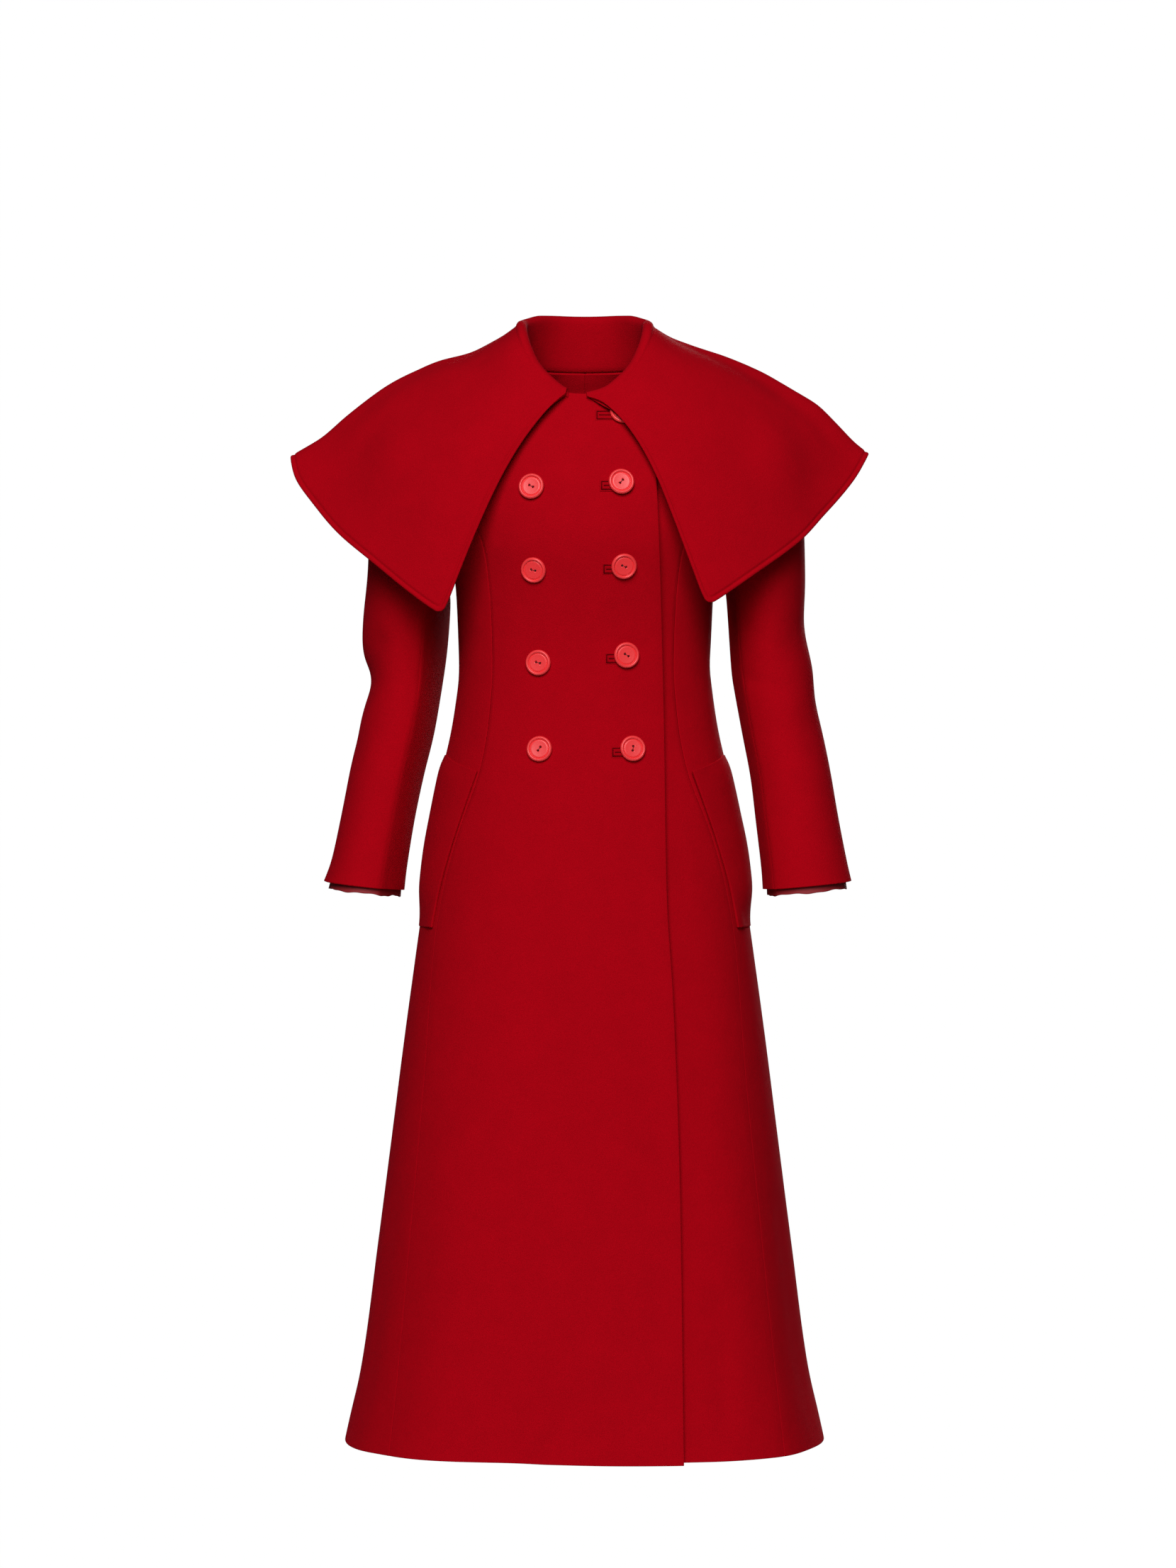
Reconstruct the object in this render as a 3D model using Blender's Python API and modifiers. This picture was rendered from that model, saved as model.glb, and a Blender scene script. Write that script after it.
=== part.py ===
"""Pilgrim collar coat, worn form, hollow.

Metres, +Z up. The front faces -Y and the wearer's right side is at -X. The origin is the centre of
the neck opening at the height of the neck points, where the wearer's neck and shoulders hold the coat.
"""

import math

import bmesh
import bpy
from mathutils import Vector
from mathutils.bvhtree import BVHTree

# Cloth and seams
CLOTH = 0.003
COLLAR_CLOTH = 0.0036
LINING_CLOTH = 0.0012
HALF_SEAM = 0.0005
SHOULDER_HALF_SEAM = 0.0009
BACK_HALF_SEAM = 0.0008
LAID_GAP = 0.0009
LINING_GAP = 0.0022
LINING_START = 0.93
LINING_SHOWS = 0.007
SLEEVE_SEAM_TURN = 1.1
UNDERLAP_DROP = CLOTH + 0.0020
UNDERLAP_NECK_DROP = 0.0015
UNDERLAP_RISE_START = 0.004
UNDERLAP_BLEND = 0.035
UNDERLAP_NECK_BLEND = 0.06
OVERLAP_LIFT = 0.0025
OVERLAP_LIFT_WIDTH = 0.03
OVERLAP_LIFT_HEIGHT = 0.1

# Main heights
HEM_Z = -1.122
OUTER_HEM_EXTRA = 0.003
OUTER_HEM_FROM = -0.12
OUTER_HEM_BLEND = 0.15
NECK_FRONT_Z = -0.0618
NECK_SIDE_Z = -0.022
NECK_HALF_WIDTH = 0.066
SHOULDER_TIP_Z = -0.055
NECK_SHARE = 0.45
YOKE_CROWDING = 1.7

# Armhole, an oval seen from the side
ARMHOLE_Z = -0.140
ARMHOLE_HALF_HEIGHT = 0.085
ARMHOLE_HALF_DEPTH = 0.062
SLEEVE_HEAD_GAP = 0.0022

# Collar, how it stands at the neck and lies over the shoulders
STAND_OFFSET = -0.0033
COLLAR_SEAM_GAP = 0.0010
COLLAR_NECK_CLEARANCE = 0.0070
COLLAR_CLEARANCE = 0.0130
SLEEVE_HEAD_CENTRE = (0.160, 0.0, -0.160)
SLEEVE_HEAD_RADII = (0.080, 0.090, 0.104)
SHOULDER_SOFTNESS = 0.006
BODY_SOFTNESS = 0.04
SLEEVE_HEAD_SOFTNESS = 0.06
SHOULDER_PUSH_ABOVE = 0.012
SHOULDER_PUSH_BLEND = 0.02
NECK_CLEARANCE_SHARE = 0.06
NECK_FREE_SHARE = 0.04

# Buttons and buttonholes
BUTTON_RADIUS = 0.013
BUTTON_RIM = 0.0042
BUTTON_DISH = 0.0030
SEAT_GAP = 0.0003
WELT_GAP = 0.0005
SEAT_REACH = 0.02
WELT_LENGTH = 0.028
WELT_HEIGHT = 0.0085
WELT_CLOTH = 0.001
WELT_START = 0.026
WELT_DROP = 0.004
WELT_COLUMNS = 3
SEAT_RINGS = (0.4, 0.8, 0.95)

# Mesh steps
SKIRT_ROWS = 20
ROW_CROWDING = 0.4
YOKE_ROWS = 6
FRONT_COLUMNS = 11
SIDE_COLUMNS = 8
BACK_COLUMNS = 6
SLEEVE_ROWS = 16
TOP_SLEEVE_COLUMNS = 11
UNDER_SLEEVE_COLUMNS = 7
COLLAR_COLUMNS = 38
COLLAR_ROWS = 9
COLLAR_CROWDING = 1.3
ROLL_STEPS = 4
STAND_ROWS = 1
BUTTON_STEPS = 14
SEAT_SAMPLES = 12
LINING_COLUMNS = 20
LINING_ROWS = 2

# Body sections: height, half width, front depth, back depth, fullness of the oval
BODY = (
    (-1.122, 0.2460, 0.194, 0.214, 2.90),
    (-1.097, 0.2405, 0.191, 0.209, 2.86),
    (-1.054, 0.2305, 0.186, 0.202, 2.80),
    (-0.922, 0.2125, 0.172, 0.184, 2.62),
    (-0.813, 0.1985, 0.160, 0.170, 2.48),
    (-0.703, 0.1845, 0.148, 0.157, 2.36),
    (-0.616, 0.1725, 0.138, 0.148, 2.28),
    (-0.572, 0.1665, 0.133, 0.143, 2.24),
    (-0.528, 0.1620, 0.128, 0.138, 2.20),
    (-0.484, 0.1555, 0.123, 0.132, 2.20),
    (-0.440, 0.1475, 0.118, 0.124, 2.20),
    (-0.397, 0.1375, 0.113, 0.111, 2.20),
    (-0.353, 0.1315, 0.110, 0.100, 2.20),
    (-0.320, 0.1300, 0.110, 0.096, 2.20),
    (-0.287, 0.1310, 0.113, 0.097, 2.20),
    (-0.243, 0.1335, 0.122, 0.103, 2.20),
    (-0.200, 0.1450, 0.130, 0.110, 2.20),
    (-0.160, 0.1560, 0.127, 0.112, 2.20),
    (-0.120, 0.1650, 0.116, 0.111, 2.15),
    (-0.085, 0.1695, 0.102, 0.105, 1.95),
    (-0.065, 0.1700, 0.092, 0.096, 1.80),
    (-0.055, 0.1680, 0.087, 0.090, 1.80),
    (-0.048, 0.1400, 0.083, 0.086, 1.85),
    (-0.040, 0.1150, 0.078, 0.082, 1.95),
    (-0.032, 0.0920, 0.073, 0.076, 2.00),
    (-0.022, 0.0660, 0.066, 0.070, 2.00),
)

# Front princess seam: height, distance from the centre
FRONT_SEAM = (
    (-1.122, 0.2000),
    (-0.900, 0.1780),
    (-0.750, 0.1630),
    (-0.600, 0.1510),
    (-0.550, 0.1420),
    (-0.500, 0.1280),
    (-0.438, 0.1060),
    (-0.390, 0.0975),
    (-0.330, 0.0935),
    (-0.270, 0.0955),
    (-0.214, 0.1020),
    (-0.180, 0.1160),
    (-0.140, 0.1470),
)

# Back side seam: height, distance from the centre
BACK_SEAM = (
    (-1.122, 0.1750),
    (-0.900, 0.1500),
    (-0.600, 0.1180),
    (-0.438, 0.0980),
    (-0.330, 0.0850),
    (-0.250, 0.0900),
    (-0.190, 0.1120),
    (-0.130, 0.1520),
)

# Overlap edge of the outer front: height, distance to the wearer's left of the centre
OVERLAP_EDGE = (
    (-1.122, 0.0980),
    (-0.856, 0.0947),
    (-0.667, 0.0882),
    (-0.568, 0.0821),
    (-0.377, 0.0790),
    (-0.154, 0.0720),
    (-0.062, 0.0660),
)
UNDERLAP_EDGE = (
    (-1.122, -0.066),
    (-0.200, -0.062),
    (-0.062, -0.040),
)

# Soft skirt folds: degrees from the front, half spread in degrees, depth at the hem, height of the top
SKIRT_FOLDS = (
    (-52.0, 13.0, 0.0060, -0.62),
    (-8.0, 9.0, 0.0050, -0.90),
    (66.0, 12.0, 0.0050, -0.62),
    (118.0, 14.0, 0.0070, -0.55),
    (152.0, 12.0, 0.0060, -0.60),
    (-120.0, 14.0, 0.0070, -0.55),
    (-150.0, 12.0, 0.0060, -0.62),
)

# Sleeves below the armhole: outer distance and height, inner distance and height, centre depth, half depth
SLEEVE_RIGHT = (
    (0.199, -0.077, 0.1425, -0.233, 0.000, 0.067),
    (0.216, -0.116, 0.1410, -0.241, 0.002, 0.071),
    (0.222, -0.170, 0.1380, -0.252, 0.005, 0.073),
    (0.224, -0.232, 0.1365, -0.264, 0.008, 0.072),
    (0.229, -0.282, 0.1375, -0.288, 0.011, 0.067),
    (0.2295, -0.316, 0.1405, -0.320, 0.012, 0.062),
    (0.224, -0.352, 0.1460, -0.356, 0.010, 0.058),
    (0.234, -0.397, 0.1535, -0.401, 0.003, 0.056),
    (0.242, -0.440, 0.1640, -0.445, -0.006, 0.054),
    (0.250, -0.484, 0.1730, -0.490, -0.016, 0.052),
    (0.259, -0.528, 0.1800, -0.536, -0.026, 0.051),
    (0.267, -0.551, 0.1825, -0.561, -0.031, 0.052),
)
SLEEVE_LEFT = (
    (0.199, -0.077, 0.1430, -0.233, 0.000, 0.067),
    (0.217, -0.116, 0.1430, -0.241, 0.002, 0.071),
    (0.225, -0.170, 0.1435, -0.252, 0.005, 0.073),
    (0.2275, -0.232, 0.1450, -0.264, 0.008, 0.072),
    (0.228, -0.284, 0.1470, -0.290, 0.011, 0.067),
    (0.235, -0.331, 0.1500, -0.335, 0.011, 0.061),
    (0.238, -0.355, 0.1535, -0.359, 0.009, 0.059),
    (0.245, -0.397, 0.1610, -0.401, 0.003, 0.056),
    (0.253, -0.440, 0.1690, -0.445, -0.006, 0.054),
    (0.260, -0.484, 0.1740, -0.490, -0.016, 0.052),
    (0.268, -0.528, 0.1790, -0.536, -0.026, 0.052),
    (0.273, -0.551, 0.1805, -0.560, -0.031, 0.053),
)
FRONT_SLEEVE_SEAM = {"right": -25.0, "left": -50.0}
BACK_SLEEVE_SEAM = 200.0

# Collar stand: degrees round the neck from the front, height of the roll, lean to the neck, roll radius
COLLAR_STAND = (
    (0.0, 0.0015, 0.000, 0.0048),
    (24.0, 0.0012, 0.000, 0.0070),
    (45.0, 0.0050, 0.000, 0.0058),
    (62.0, 0.0100, 0.001, 0.0055),
    (76.0, 0.0160, 0.002, 0.0058),
    (90.0, 0.0280, 0.004, 0.0060),
    (110.0, 0.0440, 0.007, 0.0065),
    (130.0, 0.0515, 0.009, 0.0068),
    (155.0, 0.0525, 0.009, 0.0072),
    (180.0, 0.0525, 0.009, 0.0072),
)

# Collar outer edge on each side: degrees round the neck from the front, x, y, z, sway, belly, shoulder
COLLAR_RIGHT = (
    (14.5, 0.1425, -0.138, -0.2852, 0.011, 0.014, 0.0),
    (32.0, 0.1771, -0.122, -0.2599, 0.012, 0.016, 0.1),
    (48.0, 0.2138, -0.100, -0.2295, 0.004, 0.014, 0.4),
    (62.0, 0.2515, -0.068, -0.1976, 0.000, 0.008, 0.7),
    (76.0, 0.2771, -0.038, -0.1676, 0.000, 0.003, 0.9),
    (88.0, 0.3001, -0.010, -0.1344, 0.000, 0.000, 1.0),
    (98.0, 0.3051, 0.012, -0.1125, 0.000, 0.000, 1.0),
    (116.0, 0.2820, 0.062, -0.1370, 0.000, 0.006, 0.8),
    (136.0, 0.2200, 0.108, -0.1860, 0.000, 0.016, 0.4),
    (158.0, 0.1150, 0.134, -0.2250, 0.000, 0.024, 0.1),
    (180.0, 0.0000, 0.142, -0.2400, 0.000, 0.026, 0.0),
)
COLLAR_LEFT = (
    (1.4, 0.1222, -0.138, -0.2760, 0.015, 0.014, 0.0),
    (24.0, 0.1682, -0.118, -0.2440, 0.010, 0.016, 0.1),
    (45.0, 0.2219, -0.080, -0.2036, 0.003, 0.012, 0.5),
    (60.0, 0.2423, -0.056, -0.1809, 0.000, 0.008, 0.7),
    (76.0, 0.2633, -0.032, -0.1576, 0.000, 0.003, 0.9),
    (89.0, 0.2812, -0.010, -0.1344, 0.000, 0.000, 1.0),
    (100.0, 0.2949, 0.012, -0.1096, 0.000, 0.000, 1.0),
    (117.0, 0.2760, 0.062, -0.1370, 0.000, 0.006, 0.8),
    (136.0, 0.2180, 0.108, -0.1860, 0.000, 0.016, 0.4),
    (158.0, 0.1150, 0.134, -0.2250, 0.000, 0.024, 0.1),
    (180.0, 0.0000, 0.142, -0.2400, 0.000, 0.026, 0.0),
)
# Collar line over each shoulder: share of the way out, lift over the straight line
SHOULDER_LINE_RIGHT = (
    (0.00, 0.000),
    (0.17, 0.000),
    (0.37, 0.013),
    (0.55, 0.017),
    (0.74, 0.009),
    (0.88, 0.000),
    (1.00, 0.000),
)
SHOULDER_LINE_LEFT = (
    (0.00, 0.000),
    (0.17, 0.005),
    (0.37, 0.016),
    (0.55, 0.021),
    (0.74, 0.020),
    (0.86, 0.010),
    (0.94, 0.002),
    (1.00, 0.000),
)

# Pockets: height, distance of the slanted front edge, how far the cloth stands off
POCKET_EDGE = (
    (-0.600, 0.1530, 0.0035),
    (-0.560, 0.1450, 0.0060),
    (-0.520, 0.1340, 0.0055),
    (-0.480, 0.1210, 0.0030),
    (-0.438, 0.1062, 0.0010),
)
POCKET_BOTTOM_Z = -0.598
POCKET_FRONT_TOP_Z = -0.439
POCKET_BACK_TOP_Z = -0.422
POCKET_BACK_ANGLE = 112.0
POCKET_COLUMNS = 7
POCKET_ROWS = 7

# Buttons: x, z
BUTTONS_RIGHT_COLUMN = (
    (-0.0531, -0.1539),
    (-0.0509, -0.2370),
    (-0.0463, -0.3300),
    (-0.0452, -0.4170),
)
BUTTONS_LEFT_COLUMN = (
    (0.0378, -0.0785),
    (0.0364, -0.1496),
    (0.0388, -0.2332),
    (0.0415, -0.3225),
    (0.0477, -0.4167),
)


def clear_scene():
    """Remove whatever the file holds."""
    for thing in list(bpy.data.objects):
        bpy.data.objects.remove(thing, do_unlink=True)


def make_material(name, colour, roughness):
    """A Principled material."""
    material = bpy.data.materials.new(name)
    material.use_nodes = True
    shader = material.node_tree.nodes["Principled BSDF"]
    shader.inputs["Base Color"].default_value = (*colour, 1.0)
    shader.inputs["Roughness"].default_value = roughness
    shader.inputs["Metallic"].default_value = 0.0
    return material


def read(table, at, column):
    """Read a table's column at a place along its first column, without overshoot."""
    places = [row[0] for row in table]
    values = [row[column] for row in table]
    if at <= places[0]:
        return values[0]
    if at >= places[-1]:
        return values[-1]
    step = 0
    while places[step + 1] < at:
        step += 1
    widths = [places[i + 1] - places[i] for i in range(len(places) - 1)]
    slopes = [(values[i + 1] - values[i]) / widths[i] for i in range(len(widths))]

    def tangent(i):
        if i == 0:
            return slopes[0]
        if i == len(places) - 1:
            return slopes[-1]
        before, after = slopes[i - 1], slopes[i]
        if before * after <= 0.0:
            return 0.0
        weight_before = 2.0 * widths[i] + widths[i - 1]
        weight_after = widths[i] + 2.0 * widths[i - 1]
        return (weight_before + weight_after) / (weight_before / before + weight_after / after)

    width = widths[step]
    t = (at - places[step]) / width
    start = values[step] * (2 * t**3 - 3 * t**2 + 1) + tangent(step) * width * (t**3 - 2 * t**2 + t)
    end = values[step + 1] * (3 * t**2 - 2 * t**3) + tangent(step + 1) * width * (t**3 - t**2)
    return start + end


def ease(t):
    """A soft step from 0 to 1."""
    t = min(max(t, 0.0), 1.0)
    return t * t * (3.0 - 2.0 * t)


def mix(a, b, t):
    """A point or value between two."""
    return a * (1.0 - t) + b * t


def body_section(height):
    """Half width, front depth, back depth and fullness at a height."""
    return tuple(read(BODY, height, column) for column in (1, 2, 3, 4))


def angle_at(x, height, back=False):
    """Angle from the front, in radians, of the body point at distance x from the centre."""
    half_width, _, _, fullness = body_section(height)
    share = min(abs(x) / half_width, 1.0) ** (fullness / 2.0)
    angle = math.asin(min(share, 1.0))
    if back:
        angle = math.pi - angle
    return math.copysign(angle, x)


def skirt_fold(angle, height):
    """How far the skirt dips in its soft folds."""
    dip = 0.0
    for fold_angle, spread, depth, top in SKIRT_FOLDS:
        if height < top:
            away = (math.degrees(angle) - fold_angle) / spread
            grown = ease((top - height) / (top - HEM_Z))
            dip += depth * grown * math.exp(-away * away)
    return dip


def body_point(angle, height):
    """A point of the body's outer surface."""
    half_width, front, back, fullness = body_section(height)
    across = math.sin(angle)
    forward = math.cos(angle)
    depth = front if forward > 0.0 else back
    x = half_width * math.copysign(abs(across) ** (2.0 / fullness), across)
    y = -depth * math.copysign(abs(forward) ** (2.0 / fullness), forward)
    point = Vector((x, y, height))
    outward = Vector((x, y, 0.0))
    if outward.length > 0.0:
        point -= outward.normalized() * skirt_fold(angle, height)
    return point


def body_normal(angle, height):
    """The outward direction of the body's surface."""
    turn = 0.01
    rise = 0.002
    low = max(height - rise, HEM_Z)
    high = height + rise
    around = body_point(angle + turn, height) - body_point(angle - turn, height)
    upward = body_point(angle, high) - body_point(angle, low)
    return around.cross(upward).normalized()


def armhole_depth(height):
    """Half depth of the armhole at a height, 0 outside it."""
    share = (height - ARMHOLE_Z) / ARMHOLE_HALF_HEIGHT
    return ARMHOLE_HALF_DEPTH * math.sqrt(max(1.0 - share * share, 0.0))


def armhole_x(height, back=False):
    """Distance from the centre to the armhole's front or back edge."""
    half_width, front, rear, fullness = body_section(height)
    depth = rear if back else front
    share = min((armhole_depth(height) + HALF_SEAM) / depth, 1.0)
    return half_width * (1.0 - share**fullness) ** (1.0 / fullness)


def seam_meets_armhole(seam, back):
    """Height where a seam of the body runs into the armhole."""
    low = ARMHOLE_Z - 0.07
    high = ARMHOLE_Z + 0.02
    for _ in range(40):
        middle = (low + high) / 2.0
        if read(seam, middle, 1) < armhole_x(middle, back):
            low = middle
        else:
            high = middle
    return low


FRONT_JOIN_Z = seam_meets_armhole(FRONT_SEAM, False)
BACK_JOIN_Z = seam_meets_armhole(BACK_SEAM, True)


def new_object(name, mesh, material, collection):
    """Put a mesh in the coat's collection as a named object."""
    piece = bpy.data.objects.new(name, mesh)
    piece.data.materials.append(material)
    collection.objects.link(piece)
    return piece


def cloth_sheet(name, rows, thickness, material, collection, tube=False):
    """A grid bent through rows of points, then given its thickness towards the inside.

    The rows run so that their first face looks out of the cloth.
    """
    columns = len(rows[0])
    form = bmesh.new()
    bmesh.ops.create_grid(form, x_segments=columns - 1, y_segments=len(rows) - 1, size=1.0)
    order = sorted(form.verts, key=lambda vertex: (round(vertex.co.y, 5), round(vertex.co.x, 5)))
    points = [point for row in rows for point in row]
    for vertex, point in zip(order, points):
        vertex.co = point
    if tube:
        bmesh.ops.remove_doubles(form, verts=form.verts, dist=0.00001)
    mesh = bpy.data.meshes.new(name)
    form.to_mesh(mesh)
    form.free()
    mesh.shade_smooth()
    piece = new_object(name, mesh, material, collection)
    wall = piece.modifiers.new("Thickness", "SOLIDIFY")
    wall.thickness = thickness
    wall.offset = -1.0
    return piece


def skirt_share(row):
    """Height of a row as a share of the way from the hem to the armhole seam, closer at the waist."""
    step = row / SKIRT_ROWS
    return step + ROW_CROWDING * step * (1.0 - step)


def row_shares(join_height):
    """Heights of a panel's rows as shares of its full height, even up to the armhole seam."""
    join_share = (join_height - HEM_Z) / (SHOULDER_TIP_Z - HEM_Z)
    lower = [join_share * skirt_share(row) for row in range(SKIRT_ROWS + 1)]
    upper = []
    for row in range(1, YOKE_ROWS + 1):
        left = 1.0 - row / YOKE_ROWS
        upper.append(1.0 - (1.0 - join_share) * left**YOKE_CROWDING)
    return lower + upper


def top_edge(share, inner_x, side, back):
    """A panel's top edge from its inner corner along the neckline and the shoulder to the tip."""
    if share <= NECK_SHARE:
        along = share / NECK_SHARE
        if back:
            return mix(0.0, NECK_HALF_WIDTH, along) * side, NECK_SIDE_Z
        x = mix(inner_x * side, NECK_HALF_WIDTH, along)
        across = min(max(x / NECK_HALF_WIDTH, 0.0), 1.0)
        z = NECK_SIDE_Z + (NECK_FRONT_Z - NECK_SIDE_Z) * math.sqrt(1.0 - across * across)
        return x * side, z
    along = (share - NECK_SHARE) / (1.0 - NECK_SHARE)
    z = mix(NECK_SIDE_Z, SHOULDER_TIP_Z, along)
    return body_section(z)[0] * side, z


def panel_domain(side, inner_edge, outer_seam, join_height, columns, back):
    """Rows of (x, z) between a panel's four edges, in the front view."""
    rows = []
    inner_top_x = inner_edge(NECK_FRONT_Z)
    shares = row_shares(join_height)

    def outer_edge(share):
        z = HEM_Z + (SHOULDER_TIP_Z - HEM_Z) * share
        if z <= join_height:
            return (read(outer_seam, z, 1) - HALF_SEAM) * side, z
        return (armhole_x(z, back) - HALF_SEAM) * side, z

    def inner_line(share):
        top_z = top_edge(0.0, inner_top_x, side, back)[1]
        z = HEM_Z + (top_z - HEM_Z) * share
        return inner_edge(z), z

    def bottom_edge(share):
        return mix(inner_edge(HEM_Z), outer_edge(0.0)[0], share), HEM_Z

    corners = (Vector(bottom_edge(0.0)), Vector(bottom_edge(1.0)),
               Vector(inner_line(1.0)), Vector(outer_edge(1.0)))
    for v in shares:
        row = []
        for column in range(columns + 1):
            u = column / columns
            top = Vector(top_edge(u, inner_top_x, side, back))
            if column == columns:
                top = corners[3]
            if column == 0:
                top = corners[2]
            between = mix(Vector(inner_line(v)), Vector(outer_edge(v)), u)
            between += mix(Vector(bottom_edge(u)), top, v)
            low = mix(corners[0], corners[1], u)
            high = mix(corners[2], corners[3], u)
            row.append(between - mix(low, high, v))
        rows.append(row)
    return rows


def surface_at(x, z, back):
    """Point and outward direction of the body at (x, z)."""
    angle = angle_at(x, z, back)
    point = body_point(angle, z)
    edge = SHOULDER_HALF_SEAM
    if back:
        point.y = max(point.y, edge)
    else:
        point.y = min(point.y, -edge)
    return point, body_normal(angle, z)


def overlap_x(z):
    """The outer front's edge."""
    return read(OVERLAP_EDGE, z, 1)


def outer_front_point(x, z):
    """Point and direction of the outer front, which lifts a little towards its edge."""
    point, outward = surface_at(x, z, False)
    lift = OVERLAP_LIFT * ease(1.0 - (overlap_x(z) - x) / OVERLAP_LIFT_WIDTH)
    lift *= ease((NECK_FRONT_Z - z) / OVERLAP_LIFT_HEIGHT)
    return point + outward * lift, outward


def inner_front_point(x, z):
    """Point of the under front, which lies under the outer one and comes up beyond its edge."""
    point, outward = surface_at(x, z, False)
    drop = UNDERLAP_DROP + UNDERLAP_NECK_DROP * ease((z - NECK_FRONT_Z) / UNDERLAP_NECK_BLEND + 1.0)
    drop *= 1.0 - ease((x - overlap_x(z) - UNDERLAP_RISE_START) / UNDERLAP_BLEND)
    return point - outward * drop


def make_front_right(material, collection):
    """Outer front panel, from the overlap edge across the centre to the right princess seam."""
    domain = panel_domain(-1, overlap_x, FRONT_SEAM, FRONT_JOIN_Z, FRONT_COLUMNS, False)
    rows = []
    for row in domain:
        points = [outer_front_point(x, z)[0] for x, z in row]
        points.reverse()
        rows.append(points)
    for point in rows[0]:
        point.z -= OUTER_HEM_EXTRA * ease((point.x - OUTER_HEM_FROM) / OUTER_HEM_BLEND)
    return cloth_sheet("front_right", rows, CLOTH, material, collection)


def make_front_left(material, collection):
    """Under front panel, from under the overlap to the left princess seam."""
    def inner(z):
        return read(UNDERLAP_EDGE, z, 1)

    domain = panel_domain(1, inner, FRONT_SEAM, FRONT_JOIN_Z, FRONT_COLUMNS, False)
    rows = [[inner_front_point(x, z) for x, z in row] for row in domain]
    return cloth_sheet("front_left", rows, CLOTH, material, collection)


def make_back(name, side, material, collection):
    """Back panel, from the centre-back seam to the side-back seam."""
    def inner(_):
        return BACK_HALF_SEAM * side

    domain = panel_domain(side, inner, BACK_SEAM, BACK_JOIN_Z, BACK_COLUMNS, True)
    rows = []
    for row in domain:
        points = [surface_at(x, z, True)[0] for x, z in row]
        for point in points:
            point.x = side * max(point.x * side, BACK_HALF_SEAM)
        if side > 0:
            points.reverse()
        rows.append(points)
    return cloth_sheet(name, rows, CLOTH, material, collection)


def side_angles(side, z):
    """Angles of a side panel's front and back seams."""
    front = angle_at(read(FRONT_SEAM, z, 1) + HALF_SEAM, z)
    back = angle_at(read(BACK_SEAM, z, 1) + HALF_SEAM, z, back=True)
    return front * side, back * side


def side_top(share):
    """Height at which a side panel's column runs into the armhole."""
    if share <= 0.0:
        return FRONT_JOIN_Z
    if share >= 1.0:
        return BACK_JOIN_Z
    low = ARMHOLE_Z - ARMHOLE_HALF_HEIGHT - 0.03
    high = ARMHOLE_Z
    for _ in range(40):
        middle = (low + high) / 2.0
        angle = mix(*side_angles(1, middle), share)
        if abs(body_point(angle, middle).y) > armhole_depth(middle) + HALF_SEAM:
            low = middle
        else:
            high = middle
    return min(low, ARMHOLE_Z - ARMHOLE_HALF_HEIGHT * 0.2)


def make_side(name, side, material, collection):
    """Side panel, up to the lower half of the armhole."""
    rows = []
    for step in range(SKIRT_ROWS + 1):
        row = []
        for column in range(SIDE_COLUMNS + 1):
            share = column / SIDE_COLUMNS
            top = side_top(share)
            z = mix(HEM_Z, top, skirt_share(step))
            angle = mix(*side_angles(side, z), share)
            row.append(body_point(angle, z))
        if side < 0:
            row.reverse()
        rows.append(row)
    return cloth_sheet(name, rows, CLOTH, material, collection)


def armhole_loop_point(turn):
    """Point where the sleeve meets the armhole, at an angle round it."""
    z = ARMHOLE_Z + ARMHOLE_HALF_HEIGHT * math.sin(turn)
    y = -ARMHOLE_HALF_DEPTH * math.cos(turn)
    half_width, front, rear, fullness = body_section(z)
    depth = front if y < 0.0 else rear
    share = min(abs(y) / depth, 1.0)
    x = half_width * (1.0 - share**fullness) ** (1.0 / fullness)
    return Vector((x + SLEEVE_HEAD_GAP, y, z))


def sleeve_stations(table, turn):
    """Points of the sleeve's sections at one angle round it, from armhole to cuff."""
    points = [armhole_loop_point(turn)]
    for outer_x, outer_z, inner_x, inner_z, centre_y, half_depth in table:
        centre = Vector(((outer_x + inner_x) / 2.0, centre_y, (outer_z + inner_z) / 2.0))
        reach = Vector(((outer_x - inner_x) / 2.0, 0.0, (outer_z - inner_z) / 2.0))
        points.append(centre + reach * math.sin(turn) + Vector((0.0, -half_depth * math.cos(turn), 0.0)))
    return points


def curve_through(points, share):
    """A point on a smooth curve through points, spaced evenly by their number."""
    place = share * (len(points) - 1)
    step = min(int(place), len(points) - 2)
    t = place - step
    before = points[max(step - 1, 0)]
    start = points[step]
    end = points[step + 1]
    after = points[min(step + 2, len(points) - 1)]
    return 0.5 * (2.0 * start + (end - before) * t
                  + (2.0 * before - 5.0 * start + 4.0 * end - after) * t * t
                  + (3.0 * start - before - 3.0 * end + after) * t**3)


def sleeve_point(side, turn, share):
    """A point of the sleeve's outer surface."""
    table = SLEEVE_LEFT if side > 0 else SLEEVE_RIGHT
    point = curve_through(sleeve_stations(table, turn), share)
    return Vector((point.x * side, point.y, point.z))


def make_sleeve_piece(name, side, first, last, columns, material, collection):
    """A sleeve piece between two seams, given in degrees round the sleeve from its front."""
    rows = []
    for step in range(SLEEVE_ROWS + 1):
        share = 1.0 - step / SLEEVE_ROWS
        row = []
        for column in range(columns + 1):
            turn = math.radians(mix(first + SLEEVE_SEAM_TURN, last - SLEEVE_SEAM_TURN, column / columns))
            row.append(sleeve_point(side, turn, share))
        if side < 0:
            row.reverse()
        rows.append(row)
    return cloth_sheet(name, rows, CLOTH, material, collection)


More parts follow.
